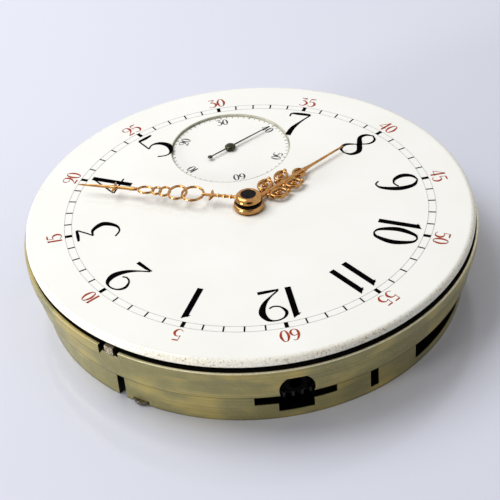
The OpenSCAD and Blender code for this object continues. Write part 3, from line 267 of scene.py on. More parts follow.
def gilded_nickel(name):
    """The plating of the plate and bridges, with lathe lines, wear, stripes at the back, a painted highlight on
    the flange's edge, and painted shade under the flange, on the ledge and in the openings.
    """
    made = Coat(name)
    place = made.add("SeparateXYZ", {"Vector": made.where}).outputs
    sideways, height, radius = place["X"], place["Z"], radius_of(made)
    faces_up = made.add("SeparateXYZ", {"Vector": made.facing}).outputs["Z"]

    # Lathe lines in pale nickel, with warmer patches where it has worn, and stains.
    lathe_lines = noise(made, scale=1500, detail=3, stretch=(0.04, 0.04, 5))
    patches = noise(made, scale=190, detail=5, stretch=(1, 1, 1.8))
    pits = noise(made, scale=5200, detail=3)
    base = tones(made, lathe_lines, (0.25, paint(140, 133, 91)), (0.5, paint(151, 144, 100)),
                 (0.75, paint(162, 154, 110)))
    warm = tones(made, lathe_lines, (0.25, paint(168, 148, 82)), (0.75, paint(199, 180, 113)))
    base = layer(made, reach(made, patches, 0.48, 0.68, 0, 0.85), base, warm)
    stain = tones(made, pits, (0.3, paint(84, 80, 56)), (0.7, paint(132, 127, 92)))
    stained = times(made, reach(made, patches, 0.57, 0.38, 0, 0.75), reach(made, pits, 0.32, 0.68))
    base = layer(made, stained, base, stain)

    # Darker at the foot, a dark seam between the bridges and the plate, and painted shade in the corner under
    # the flange.
    clean, seam_dirt = paint(255, 255, 255), paint(120, 116, 104)
    dirt_and_shade = tones(made, reach(made, height, 0, movement_tall), (0.0, paint(190, 190, 190)), (0.03, clean),
                 (0.405, clean), (0.4135, seam_dirt), (0.4195, seam_dirt), (0.43, clean), (0.715, clean),
                 (0.7235, paint(130, 126, 110)), (0.728, clean))
    base = layer(made, 1, base, dirt_and_shade, "MULTIPLY")

    # Straight stripes at the back.
    wave = made.add("TexWave", {"Vector": made.where, "Scale": 180, "Distortion": 0.15})
    wave.wave_type, wave.bands_direction, wave.wave_profile = "BANDS", "DIAGONAL", "SAW"
    stripes = wave.outputs["Fac"]
    stripe_tone = tones(made, stripes, (0.0, paint(150, 143, 104)), (0.5, paint(188, 181, 140)),
                        (1.0, paint(214, 206, 168)))
    at_back = reach(made, faces_up, -0.7, -0.95)
    base = layer(made, at_back, base, stripe_tone)

    # A painted highlight brightens the flange's top edge, fainter at the three o'clock side, and painted shade
    # blackens the ledge inside it under the dial's edge, narrower at the three o'clock side.
    shade_edge_radius = reckon(made, "ADD", radius, reach(made, sideways, 9 * MM, 19 * MM, 0, 0.15 * MM))
    ledge = times(made, reach(made, height, flange_top - 0.08 * MM, flange_top),
                  reach(made, shade_edge_radius, flange_lip - 0.05 * MM, flange_lip, 1, 0))
    painted_edge_highlight = times(made, reach(made, height, flange_top - 0.08 * MM, flange_top - 0.04 * MM),
                      reach(made, radius, flange_lip - 0.04 * MM, flange_lip),
                      reach(made, sideways, 9 * MM, 15 * MM, 1, 0.15))
    edge_highlight_tone = tones(made, pits, (0.3, paint(214, 204, 164)), (0.7, paint(240, 232, 200)))
    base = layer(made, painted_edge_highlight, base, edge_highlight_tone)
    painted_black_shade = tones(made, pits, (0.3, paint(7, 6, 5)), (0.7, paint(12, 11, 9)))
    base = layer(made, ledge, base, painted_black_shade)

    # Painted shade, in black, on all that lies behind the rim's openings, and on the openings' cut walls.
    rim = reach(made, height, bridge_seam - 0.02 * MM, bridge_seam + 0.02 * MM,
                bridge_edge - rim_skin, plate_edge - rim_skin)
    inside = times(made, reach(made, reckon(made, "SUBTRACT", rim, radius), 0, 0.04 * MM),
                   reach(made, radius, open_from - 0.1 * MM, open_from + 0.1 * MM),
                   reach(made, faces_up, -0.6, -0.4),
                   reach(made, height, under_flange - 0.02 * MM, under_flange + 0.02 * MM, 1, 0))
    base = layer(made, inside, base, painted_black_shade)
    outward = steer(made, "NORMALIZE", steer(made, "MULTIPLY", made.where, (1, 1, 0))["Vector"])["Vector"]
    faces_out = steer(made, "DOT_PRODUCT", made.facing, outward)["Value"]
    open_face = reckon(made, "ADD", reckon(made, "ABSOLUTE", faces_out), reckon(made, "ABSOLUTE", faces_up))
    cut_wall = times(made, reach(made, open_face, 0.6, 0.3),
                     reach(made, radius, cut_from - 0.2 * MM, cut_from + 0.2 * MM))
    base = layer(made, cut_wall, base, painted_black_shade)

    filed = soft_edges(made, width=0.07 * MM)
    lathed = relief(made, lathe_lines, strength=0.07, distance=0.02 * MM, normal=filed)
    striped = relief(made, stripes, strength=at_back, distance=0.03 * MM, normal=lathed)
    frost = noise(made, scale=2600, detail=4)
    made.give(made.shader, {
        "Base Color": base,
        "Metallic": 0.6,
        "Specular IOR Level": 0.2,
        "Roughness": reckon(made, "ADD", reach(made, pits, 0.25, 0.75, 0.3, 0.42), ledge),
        "Normal": relief(made, frost, strength=0.2, distance=0.01 * MM, normal=striped),
    })
    return made


def finish(coat, *nodes):
    """Gives the finish to these pieces of the movement."""
    for name in nodes:
        piece = frame["nodes"][name].data
        piece.materials.clear()
        piece.materials.append(coat.material)


def plated(name, dark, light, rough, grain, bump, metal=1.0, streak=(1, 1, 1)):
    """A plated or polished metal: a grain of two tones, drawn out by streak, with its gloss and bump."""
    made = Coat(name)
    cloud = noise(made, grain, detail=4, stretch=streak)
    filed = soft_edges(made, width=0.03 * MM)
    made.give(made.shader, {
        "Base Color": tones(made, cloud, (0.32, dark), (0.68, light)),
        "Metallic": metal,
        "Roughness": reach(made, cloud, 0, 1, rough * 0.75, rough * 1.3),
        "Normal": relief(made, cloud, strength=bump, distance=0.02 * MM, normal=filed),
    })
    return made


turned_nickel = gilded_nickel("turned_nickel")
frosted_nickel = plated("frosted_nickel", paint(152, 145, 106), paint(186, 178, 138),
                        rough=0.36, grain=2600, bump=0.3)
finish(turned_nickel, "pillar_plate", "barrel_bridge", "train_bridge", "balance_cock")
finish(frosted_nickel, "pallet_bridge")

# The bearing jewels, the pallet stones and the roller's pin: ground and polished ruby.
# The jewels are rubbed into the plate and the bridges. Those at the back show a polished oil cup round
# the pivot's hole, so they are turned here in full. The stones are set in shellac.
ruby = plated("ruby", paint(150, 16, 48), paint(196, 32, 76), rough=0.08, grain=1800, bump=0.05, metal=0.0)
ruby.give(ruby.shader, {"Transmission Weight": 0.35, "IOR": 1.76})
finish(ruby, "plate_jewels", "pallet_stones", "roller_jewel")


class Work:
    """Metal or stone in hand: points and faces of turned and drawn parts, then made into a piece."""

    def __init__(self):
        self.points, self.faces = [], []

    def turn(self, middle, profile, segments=48):
        """A part turned on an upright axis. The profile of (radius, height) closes on itself."""
        start, count = len(self.points), len(profile)
        for k in range(segments):
            s, c = math.sin(2 * math.pi * k / segments), math.cos(2 * math.pi * k / segments)
            self.points += [(middle[0] + r * c, middle[1] + r * s, z) for r, z in profile]
        for k in range(segments):
            for i in range(count):
                a, b = start + k * count, start + (k + 1) % segments * count
                j = (i + 1) % count
                self.faces.append((a + i, a + j, b + j, b + i))

    def piece(self, name, coat, body, slot, *stands_for, smooth=40):
        """The finished piece, riding on a body of the movement."""
        mesh = bpy.data.meshes.new(name)
        mesh.from_pydata(self.points, [], self.faces)
        mesh.materials.append(coat.material)
        made = bpy.data.objects.new(name, mesh)
        bpy.context.collection.objects.link(made)
        if smooth:
            solid = bmesh.new()
            solid.from_mesh(mesh)
            bmesh.ops.recalc_face_normals(solid, faces=solid.faces)
            solid.to_mesh(mesh)
            solid.free()
            mesh.shade_smooth()
            mesh.set_sharp_from_angle(angle=math.radians(smooth))
        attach(made, body)
        if stands_for:
            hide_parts(*stands_for)
        return made


def axis_of(joint_name):
    """Where a joint's upright axis stands, from the movement's own record."""
    for joint in frame["record"]["behaviour"]["joints"]:
        if joint["name"] == joint_name:
            return joint["pos_m"][0], joint["pos_m"][1]


jewel_r, jewel_t, bridge_seat, cock_seat = 0.55 * MM, 0.4 * MM, 0.35 * MM, 0.5 * MM
fine_hole_r, centre_hole_r = 0.16 * MM, 0.28 * MM
back_bearings = (("third_spin", fine_hole_r, bridge_seat), ("fourth_spin", fine_hole_r, bridge_seat),
                 ("escape_spin", fine_hole_r, bridge_seat), ("centre_spin", centre_hole_r, bridge_seat),
                 ("balance_swing", fine_hole_r, cock_seat))
back_jewels = Work()
for joint_name, hole_r, seat in back_bearings:
    oil_cup = [(hole_r, seat + 0.2 * MM), (hole_r + 0.05 * MM, seat + 0.13 * MM),
               (hole_r + 0.13 * MM, seat + 0.07 * MM), (0.40 * MM, seat + 0.02 * MM), (0.46 * MM, seat)]
    back_jewels.turn(axis_of(joint_name), oil_cup + [(0.52 * MM, seat), (jewel_r, seat + 0.03 * MM),
                                                     (jewel_r, seat + jewel_t), (hole_r, seat + jewel_t)])
back_jewels.piece("polished_bridge_jewels", ruby, "frame", "ruby", "bridge_jewels")

# The barrel: a gilt brass drum with teeth round its edge and a snapped-in cover, on a steel arbor.
# The mainspring is a long strip of blued spring steel, coiled inside it.
gilt_brass = plated("gilt_brass", paint(186, 148, 76), paint(216, 180, 106), rough=0.26, grain=2200, bump=0.2)
bright_steel = plated("bright_steel", paint(150, 152, 156), paint(186, 188, 192),
                      rough=0.2, grain=4600, bump=0.08, streak=(1, 1, 3))
blued_steel = plated("blued_steel", paint(24, 32, 74), paint(44, 58, 118), rough=0.22, grain=2400, bump=0.1)
finish(gilt_brass, "barrel_drum", "barrel_cover")
finish(bright_steel, "barrel_arbor")


def ribbon(work, middle, r_in, r_out, turns, arc, end_angle, thick, low, high):
    """A flat spiral of spring steel. Its last part, of arc degrees, is a round arc that ends at end_angle."""
    total, start, row_angle = 360 * turns + arc, len(work.points), 5
    rows = int(total / row_angle) + 1
    for k in range(rows):
        t = total * k / (rows - 1)
        r, a = min(r_in + (r_out - r_in) * t / (360 * turns), r_out), math.radians(end_angle + total - t)
        for side, z in ((-0.5, low), (-0.5, high), (0.5, high), (0.5, low)):
            edge = r + side * thick
            work.points.append((middle[0] + edge * math.cos(a), middle[1] + edge * math.sin(a), z))
    for k in range(rows - 1):
        for i in range(4):
            a, b, j = start + 4 * k, start + 4 * k + 4, (i + 1) % 4
            work.faces.append((a + i, a + j, b + j, b + i))
    work.faces.append((start + 3, start + 2, start + 1, start))
    work.faces.append(tuple(start + 4 * (rows - 1) + i for i in range(4)))


main_low, main_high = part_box("mainspring")
mainspring_work = Work()
ribbon(mainspring_work, axis_of("barrel_spin"), r_in=2.25 * MM, r_out=7.339 * MM, turns=8, arc=45, end_angle=0,
       thick=0.14 * MM, low=main_low.z, high=main_high.z)
mainspring_work.piece("coiled_mainspring", blued_steel, "barrel", "blued_steel", "mainspring")

# The going train: crossed brass wheels riveted to pinions that are cut from the steel of their arbors.
# It runs from the barrel over the centre, third and fourth wheels to the escape wheel.
finish(gilt_brass, "centre_wheel", "third_wheel", "fourth_wheel")
finish(bright_steel, "centre_arbor", "third_pinion", "fourth_pinion", "escape_wheel", "escape_pinion")

# The lever escapement: a polished steel fork on a fine arbor, and a roller pressed on the balance's staff.
# The fork's two stones catch the escape wheel's teeth, and the roller's ruby pin throws the fork over.
finish(bright_steel, "pallet_fork", "pallet_arbor", "roller_table", "balance_staff")

# The balance: a cut rim of brass with gilt timing screws, and the blued hairspring between its collet
# on the staff and its stud under the cock. The regulator's two pins hold the spring's last turn.
finish(gilt_brass, "balance_wheel", "balance_screws", "hairspring_collet")
hair_low, hair_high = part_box("hairspring")
hairspring_work = Work()
ribbon(hairspring_work, axis_of("balance_swing"), r_in=0.78 * MM, r_out=4.78 * MM, turns=8, arc=75,
       end_angle=53.05, thick=0.07 * MM, low=hair_low.z, high=hair_high.z)
hairspring_work.piece("coiled_hairspring", blued_steel, "frame", "blued_steel", "hairspring")
finish(bright_steel, "hairspring_stud", "regulator")

# The winding work: hardened steel wheels with a fine ground face. The ratchet sits on the barrel's arbor,
# the crown wheel turns on a core in the bridge, and the winding pinion and clutch ride on the arbor.
ground_steel = plated("ground_steel", paint(124, 126, 128), paint(160, 162, 164),
                      rough=0.26, grain=5200, bump=0.08, streak=(1, 1, 3))
# The winding arbor, pinion and clutch lie deep in the stem's opening and are painted near black as shade, and
# the crown wheel is painted dark grey as shade.
shaded_black_steel = plated("shaded_black_steel", paint(4, 4, 4), paint(15, 14, 13), rough=0.6, grain=2200, bump=0.3)
shaded_grey_steel = plated("shaded_grey_steel", paint(38, 38, 39), paint(62, 62, 62),
                      rough=0.48, grain=1800, bump=0.1, streak=(1, 1, 3))
finish(ground_steel, "ratchet_wheel")
finish(shaded_grey_steel, "crown_wheel")
finish(shaded_black_steel, "winding_arbor", "winding_pinion", "clutch")
finish(bright_steel, "crown_wheel_core", "click", "click_screw")
finish(blued_steel, "click_spring")

# The setting work under the dial: the lever whose end shows in the rim's notch, the yoke and its spring.
# The lever's end is handled each time the watch is set, so it has lost its polish and is a little pitted.
aged_steel = plated("aged_steel", paint(74, 68, 58), paint(132, 124, 108), rough=0.34, grain=3600, bump=0.5)
finish(aged_steel, "setting_lever")
finish(bright_steel, "setting_lever_screw", "yoke", "yoke_screw")
finish(blued_steel, "yoke_spring")
lever_bearing, lever_end, lever_half = math.radians(90 - 45.5), 21.58 * MM, 0.47 * MM
rib_count, rib_steps, first_rib, rib_pitch = 4, 7, 0.12 * MM, 0.21 * MM
rib_out, rib_half = 0.06 * MM, 0.07 * MM
lever_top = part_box("setting_lever")[1].z
lever_s, lever_c = math.sin(lever_bearing), math.cos(lever_bearing)
lever_ribs = Work()
for rib in range(rib_count):
    start = len(lever_ribs.points)
    for aside in (-lever_half, lever_half):
        for step in range(rib_steps):
            bow = math.pi * step / (rib_steps - 1)
            out_by = lever_end + rib_out * math.sin(bow)
            z = lever_top - first_rib - rib_pitch * rib - rib_half * math.cos(bow)
            x, y = out_by * lever_c - aside * lever_s, out_by * lever_s + aside * lever_c
            lever_ribs.points.append((x, y, z))
    near, far = range(start, start + rib_steps), range(start + rib_steps, start + 2 * rib_steps)
    for step in range(rib_steps):
        after = (step + 1) % rib_steps
        lever_ribs.faces.append((near[after], near[step], far[step], far[after]))
    lever_ribs.faces += [tuple(near), tuple(reversed(far))]
lever_ribs.piece("setting_lever_grip", aged_steel, "lever", "steel")

# The screws at the back: turned steel with slotted heads. Five blued ones hold the bridges, and two plain
# ones, dull with age, have wide heads that stand out past the edge and hold the movement in its case.


def slotted_screw(work, middle, head_r, face, under, shank_r, end, slot_w, bearing):
    """A screw with its slotted head at the back, between the heights face and under."""
    slot_share, bevel, bore, half = 0.45, 0.06 * MM, 0.02 * MM, slot_w / 2
    slot_floor = face + slot_share * (under - face)
    work.turn(middle, [(bore, slot_floor), (head_r, slot_floor), (head_r, under), (shank_r, under),
                       (shank_r, end), (bore, end)])
    arc_steps, start = 24, math.asin(half / head_r)
    arc = [start + (math.pi - 2 * start) * k / arc_steps for k in range(arc_steps + 1)]
    count = len(arc)
    for side in (0, 180):
        spin = math.radians(bearing + side)
        s, c = math.sin(spin), math.cos(spin)
        base = len(work.points)
        for r, z in ((head_r, slot_floor), (head_r, face + bevel), (head_r - bevel, face)):
            for a in arc:
                x, y = r * math.cos(a), max(r * math.sin(a), half)
                work.points.append((middle[0] + x * c - y * s, middle[1] + x * s + y * c, z))
        for low, high in ((base, base + count), (base + count, base + 2 * count)):
            for i in range(count):
                j = (i + 1) % count
                work.faces.append((low + j, low + i, high + i, high + j))
        work.faces.append(tuple(base + 2 * count + i for i in reversed(range(count))))
        work.faces.append(tuple(base + i for i in range(count)))


def clock(angle, distance):
    """A point at a clock angle and a distance from the middle."""
    return distance * math.sin(math.radians(angle)), distance * math.cos(math.radians(angle))


bridge_screw_circle, case_screw_circle = 19.7 * MM, 19.75 * MM
bridge_screw_work = Work()
for angle, bearing in ((28, 20), (288, 75), (200, 140), (250, 52), (75, 108)):
    slotted_screw(bridge_screw_work, clock(angle, bridge_screw_circle), head_r=0.68 * MM, face=0.05 * MM,
                  under=0.55 * MM, shank_r=0.4 * MM, end=4.75 * MM, slot_w=0.2 * MM, bearing=bearing)
bridge_screw_work.piece("slotted_bridge_screws", blued_steel, "frame", "blued_steel", "bridge_screws")
case_screw_work = Work()
for angle, bearing in ((40.4, 10), (218, 62)):
    slotted_screw(case_screw_work, clock(angle, case_screw_circle), head_r=1.1 * MM, face=0.05 * MM,
                  under=0.5 * MM, shank_r=0.5 * MM, end=2.4 * MM, slot_w=0.26 * MM, bearing=bearing)
case_screw_work.piece("slotted_case_screws", aged_steel, "frame", "steel", "case_screws")
finish(bright_steel, "dial_foot_screws")

# The motion work: a steel cannon pinion and setting wheel, brass minute and hour wheels, and a brass washer.
# The cannon is a friction fit on the centre arbor, and its polished end, painted near black as a dark
# reflection, shows in the minute hand.
# The hour wheel turns on the cannon, and its pipe is painted dark as shade where it stands out in the gap
# between the hands.
# The cannon's polished steel is painted near black, as a painted dark reflection.
dark_reflection_steel = plated("dark_reflection_steel", paint(14, 13, 13), paint(34, 30, 28), rough=0.2, grain=2400, bump=0.05)
finish(dark_reflection_steel, "cannon_pinion")
finish(bright_steel, "setting_wheel", "motion_posts")
finish(gilt_brass, "minute_wheel", "dial_washer")
dial_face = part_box("dial")[1].z
pipe_brass = plated("pipe_brass", paint(186, 148, 76), paint(216, 180, 106), rough=0.26, grain=2200, bump=0.2)
pipe_height = pipe_brass.add("SeparateXYZ", {"Vector": pipe_brass.where}).outputs["Z"]
# Above the dial the pipe is painted near black, as shade in the gap between the hands.
pipe_dark = reach(pipe_brass, pipe_height, dial_face + 0.1 * MM, dial_face + 0.15 * MM)
pipe_bare = pipe_brass.shader.inputs["Base Color"].links[0].from_socket
pipe_grain = noise(pipe_brass, scale=2400, detail=2)
pipe_painted_shade = tones(pipe_brass, pipe_grain, (0.3, paint(12, 10, 9)), (0.7, paint(26, 22, 18)))
pipe_brass.give(pipe_brass.shader, {"Base Color": layer(pipe_brass, pipe_dark, pipe_bare, pipe_painted_shade)})
finish(pipe_brass, "hour_wheel")

# The dial: white enamel fired on a copper disc, with a rounded edge that is a little rough and stained.
# The seconds dial is a second disc, soldered in from behind, and three copper feet hold the dial.
dial_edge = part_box("dial")[1].x
seconds_low, seconds_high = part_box("seconds_dial")
seconds_middle = ((seconds_low.x + seconds_high.x) / 2, (seconds_low.y + seconds_high.y) / 2)
seconds_edge = 6.0 * MM
enamel = Coat("fired_enamel")
enamel_haze, enamel_grit = noise(enamel, scale=160, detail=2), noise(enamel, scale=5200, detail=4)
enamel_wear, sunk_edge_mottle = noise(enamel, scale=90, detail=2), noise(enamel, scale=1400, detail=3)
enamel_white = tones(enamel, enamel_haze, (0.3, paint(248, 248, 244)), (0.7, paint(252, 252, 249)))
enamel_specks = tones(enamel, enamel_grit, (0.3, paint(150, 138, 108)), (0.4, paint(222, 217, 198)),
                      (0.6, paint(238, 235, 224)))
worn_rim = times(enamel, reach(enamel, radius_of(enamel), dial_edge - 0.6 * MM, dial_edge - 0.15 * MM),
                 reach(enamel, enamel_wear, 0.3, 0.6, 0.25, 1))
# A greyer ring lies on the enamel round the edge of the sunk seconds dial.
sunk_radius = radius_of(enamel, seconds_middle)
sunk_rim = times(enamel, reach(enamel, sunk_radius, seconds_edge - 0.2 * MM, seconds_edge - 0.04 * MM),
                 reach(enamel, sunk_radius, seconds_edge + 0.12 * MM, seconds_edge + 0.02 * MM))
sunk_edge_grey = tones(enamel, sunk_edge_mottle, (0.3, paint(168, 166, 146)), (0.7, paint(206, 204, 188)))
enamel.give(enamel.shader, {
    "Base Color": layer(enamel, sunk_rim, layer(enamel, worn_rim, enamel_white, enamel_specks), sunk_edge_grey),
    "Roughness": 0.1,
    "Specular IOR Level": 0.3,
    "Coat Weight": 0.1,
    "Coat Roughness": 0.04,
})
finish(enamel, "dial", "seconds_dial")
lip_in, lip_out = 1.4 * MM, 1.8 * MM
hole_lip = Work()
hole_lip.turn((0, 0), [(lip_in - 0.02 * MM, dial_face - 0.1 * MM), (lip_in, dial_face - 0.03 * MM),
                       (lip_in + 0.06 * MM, dial_face + 0.003 * MM),
                       (lip_out - 0.02 * MM, dial_face + 0.003 * MM), (lip_out, dial_face - 0.02 * MM),
                       (lip_out, dial_face - 0.2 * MM), (lip_in, dial_face - 0.2 * MM)], segments=96)
hole_lip.piece("dial_hole_lip", enamel, "frame", "enamel")
copper = plated("soldered_copper", paint(150, 88, 58), paint(196, 128, 92), rough=0.4, grain=1500, bump=0.3)
finish(copper, "dial_feet")

# The print on the dial: black and red enamel paint, transferred in thin films and fired into the white.
# Its digits have heavy stems and fine hairlines. Each is drawn in strokes of points (x, y, half width)
# on a height of one, with a smooth line through a stroke's points, and in filled flats.
DIGITS = {
    "0": ([[(0.305, 0.99, 0.012), (0.17, 0.89, 0.042), (0.074, 0.5, 0.07), (0.17, 0.11, 0.042),
            (0.305, 0.01, 0.012)],
           [(0.305, 0.99, 0.012), (0.44, 0.89, 0.042), (0.536, 0.5, 0.07), (0.44, 0.11, 0.042),
            (0.305, 0.01, 0.012)]], [], 0.63),
    "1": ([[(0.235, 0.93, 0.066), (0.235, 0.5, 0.066), (0.235, 0, 0.066)]],
          [[(0.301, 1), (0.301, 0.9), (0.169, 0.86), (0.125, 0.872)]], 0.36),
    "2": ([[(0.385, 0.588, 0.011), (0.28, 0.54, 0.013), (0.14, 0.595, 0.02), (0.052, 0.768, 0.037),
            (0.125, 0.925, 0.024), (0.3, 0.988, 0.012), (0.47, 0.925, 0.045), (0.553, 0.7, 0.075),
            (0.47, 0.44, 0.055), (0.3, 0.235, 0.024), (0.09, 0.055, 0.014)],
           [(0.075, 0.022, 0.012), (0.2, 0.043, 0.036), (0.36, 0.05, 0.044), (0.535, 0.056, 0.047)]], [], 0.64),
    "3": ([[(0.08, 0.962, 0.024), (0.27, 0.962, 0.038), (0.486, 0.972, 0.026)],
           [(0.486, 0.965, 0.012), (0.324, 0.757, 0.012), (0.205, 0.622, 0.012)],
           [(0.205, 0.622, 0.012), (0.405, 0.605, 0.04), (0.575, 0.36, 0.07), (0.44, 0.09, 0.042),
            (0.243, 0.02, 0.014), (0.054, 0.135, 0.02)]], [], 0.64),
    "4": ([[(0.42, 0.99, 0.014), (0.22, 0.64, 0.014), (0.02, 0.29, 0.014)],
           [(0.02, 0.275, 0.018), (0.3, 0.275, 0.018), (0.6, 0.275, 0.018)],
           [(0.43, 1, 0.066), (0.43, 0.5, 0.066), (0.43, 0, 0.066)]], [], 0.64),
    "5": ([[(0.13, 0.955, 0.038), (0.3, 0.948, 0.046), (0.5, 0.962, 0.03)],
           [(0.125, 0.965, 0.012), (0.115, 0.75, 0.012), (0.105, 0.53, 0.012)],
           [(0.105, 0.53, 0.012), (0.27, 0.61, 0.024), (0.45, 0.52, 0.055), (0.535, 0.3, 0.072),
            (0.43, 0.07, 0.045), (0.25, 0.012, 0.014), (0.06, 0.12, 0.02)]], [], 0.62),
    "6": ([[(0.47, 0.9, 0.02), (0.36, 0.985, 0.014), (0.2, 0.87, 0.045), (0.075, 0.5, 0.07),
            (0.12, 0.16, 0.05), (0.3, 0.012, 0.013)],
           [(0.3, 0.012, 0.013), (0.47, 0.1, 0.045), (0.54, 0.3, 0.066), (0.46, 0.5, 0.045),
            (0.31, 0.575, 0.014), (0.16, 0.5, 0.014)]], [], 0.62),
    "7": ([[(0.05, 0.79, 0.009), (0.06, 0.92, 0.026), (0.24, 0.945, 0.05), (0.52, 0.956, 0.044)],
           [(0.54, 0.96, 0.014), (0.38, 0.62, 0.028), (0.27, 0.3, 0.06), (0.25, 0, 0.07)]], [], 0.6),
    "8": ([[(0.3, 0.985, 0.013), (0.15, 0.89, 0.042), (0.125, 0.72, 0.052), (0.31, 0.52, 0.066),
            (0.51, 0.3, 0.064), (0.47, 0.09, 0.042), (0.3, 0.012, 0.013)],
           [(0.3, 0.985, 0.013), (0.45, 0.89, 0.03), (0.465, 0.7, 0.026), (0.3, 0.5, 0.014),
            (0.09, 0.28, 0.042), (0.13, 0.08, 0.038), (0.3, 0.012, 0.013)]], [], 0.62),
}
DIGITS["9"] = ([[(0.615 - x, 1 - y, w) for x, y, w in stroke] for stroke in DIGITS["6"][0]], [], 0.62)


def smooth_line(points, steps=8):
    """A smooth line through a stroke's points, with its half width going along."""
    ends = [points[0]] + list(points) + [points[-1]]
    line = []
    for p0, p1, p2, p3 in zip(ends, ends[1:], ends[2:], ends[3:]):
        for k in range(steps):
            t = k / steps
            line.append(tuple(0.5 * (2 * b + (c - a) * t + (2 * a - 5 * b + 4 * c - d) * t * t
                                     + (3 * b - a - 3 * c + d) * t ** 3) for a, b, c, d in zip(p0, p1, p2, p3)))
    return line + [points[-1]]


def sides_of(line):
    """The direction across a line of (x, y, half width) at each of its points."""
    out = []
    for i in range(len(line)):
        (x0, y0), (x1, y1) = line[max(i - 1, 0)][:2], line[min(i + 1, len(line) - 1)][:2]
        run = math.hypot(x1 - x0, y1 - y0) or 1
        out.append((-(y1 - y0) / run, (x1 - x0) / run))
    return out


class Film(Work):
    """A thin film of print on a flat dial: faces collected at one height, then made into a piece."""

    def __init__(self, height):
        super().__init__()
        self.height = height

    def face(self, corners):
        """A flat face between corners (x, y)."""
        self.faces.append(tuple(range(len(self.points), len(self.points) + len(corners))))
        self.points += [(x, y, self.height) for x, y in corners]

    def fire(self, name, paint_coat):
        """The finished film: its strokes joined, and as thick as the paint is."""
        made = self.piece(name, paint_coat, "frame", "enamel", smooth=0)
        weld_gap, film_thick = 0.0001 * MM, 0.012 * MM
        made.modifiers.new("joined_strokes", "WELD").merge_threshold = weld_gap
        film = made.modifiers.new("paint_coat", "SOLIDIFY")
        film.thickness = film_thick
        film.offset = -1

    def band(self, middle, inner, outer, steps=240):
        """A ring round middle."""
        for i in range(steps):
            a, b = (2 * math.pi * k / steps for k in (i, i + 1))
            self.face([(middle[0] + r * math.sin(t), middle[1] + r * math.cos(t))
                       for r, t in ((inner, b), (outer, b), (outer, a), (inner, a))])

    def tick(self, middle, angle, inner, outer, width):
        """A straight stroke along the radius at a clock angle."""
        s, c = math.sin(math.radians(angle)), math.cos(math.radians(angle))
        half = width / 2
        self.face([(middle[0] + r * s + w * c, middle[1] + r * c - w * s)
                   for r, w in ((inner, -half), (inner, half), (outer, half), (outer, -half))])

    def number(self, text, middle, angle, foot, height, weight=1.0):
        """A number that stands on the circle of radius foot, with its head outward."""
        s, c = math.sin(math.radians(angle)), math.cos(math.radians(angle))
        pen, finest = -sum(DIGITS[d][2] for d in text) / 2, 0.02

        def on_dial(x, y):
            across_by, out_by = x * height, foot + y * height
            return middle[0] + out_by * s + across_by * c, middle[1] + out_by * c - across_by * s

        for digit in text:
            strokes, flats, advance = DIGITS[digit]
            for stroke in strokes:
                line = smooth_line(stroke)
                edges = []
                for (x, y, w), (nx, ny) in zip(line, sides_of(line)):
                    w = max(w, finest) * weight
                    edges.append((on_dial(pen + x + nx * w, y + ny * w), on_dial(pen + x - nx * w, y - ny * w)))
                for (a, b), (c1, d1) in zip(edges, edges[1:]):
                    self.face([a, b, d1, c1])
            for flat in flats:
                self.face([on_dial(pen + x, y) for x, y in reversed(flat)])
            pen += advance


def fired_paint(name, deep, thin):
    """Enamel paint fired on the dial: matt, and a little uneven where the film is thin."""
    made = plated(name, deep, thin, rough=0.5, grain=3200, bump=0.05, metal=0.0)
    made.give(made.shader, {"Specular IOR Level": 0})
    return made


black_paint = fired_paint("black_dial_paint", paint(3, 3, 4), paint(10, 10, 12))
red_paint = fired_paint("red_dial_paint", paint(148, 52, 37), paint(184, 86, 62))
hairline_paint = fired_paint("hairline_dial_paint", paint(176, 177, 178), paint(196, 197, 198))
grey_paint = fired_paint("seconds_dial_paint", paint(60, 62, 66), paint(96, 98, 102))
dial_middle = (0, 0)
print_height, print_lift = dial_face + 0.01 * MM, 0.004 * MM
track_inner, track_outer, half_hairline = 17.06 * MM, 17.76 * MM, 0.022 * MM
minute_tick, five_tick = 0.14 * MM, 0.36 * MM
hour_number_foot, hour_number_tall = 12.5 * MM, 4.2 * MM
five_number_foot, five_number_tall = 18.05 * MM, 1.45 * MM
seconds_inner, seconds_outer = 5.62 * MM, 5.88 * MM
second_tick, five_second_tick = 0.045 * MM, 0.1 * MM
ten_number_foot, ten_number_tall = 4.5 * MM, 0.98 * MM

hour_print = Film(print_height + print_lift)
for hour in (1, 2, 3, 4, 5, 7, 8, 9, 10, 11, 12):
    hour_print.number(str(hour), dial_middle, hour * 30, hour_number_foot, hour_number_tall)
for minute in range(60):
    wide = minute_tick if minute % 5 else five_tick
    hour_print.tick(dial_middle, minute * 6, track_inner, track_outer, wide)
hour_print.fire("hour_numbers", black_paint)

track_print = Film(print_height)
for ring in (track_inner, track_outer):
    track_print.band(dial_middle, ring - half_hairline, ring + half_hairline)
track_print.fire("minute_track", hairline_paint)

red_print = Film(print_height)
for five in range(1, 13):
    red_print.number(str(five * 5), dial_middle, five * 30, five_number_foot, five_number_tall, weight=1.15)
red_print.fire("five_minute_numbers", red_paint)

seconds_print = Film(seconds_high.z + 0.01 * MM)
for second in range(60):
    wide = second_tick if second % 5 else five_second_tick
    seconds_print.tick(seconds_middle, second * 6, seconds_inner, seconds_outer, wide)
for ten in range(1, 7):
    seconds_print.number(str(ten * 10), seconds_middle, ten * 60, ten_number_foot, ten_number_tall, weight=1.3)
seconds_print.fire("seconds_numbers", grey_paint)

# The hands: pierced out of thin gold, carved into scrolls and leaves, and rounded by hand, each pressed on
# its pipe by a turned collet. The seconds hand is a plain thin one of dark steel on the fourth wheel's pivot.
rose_gold = plated("rose_gold", paint(166, 117, 63), paint(196, 149, 90), rough=0.13, grain=2600, bump=0.1)
dark_steel = plated("dark_steel", paint(44, 43, 30), paint(82, 80, 60), rough=0.26, grain=2400, bump=0.15)


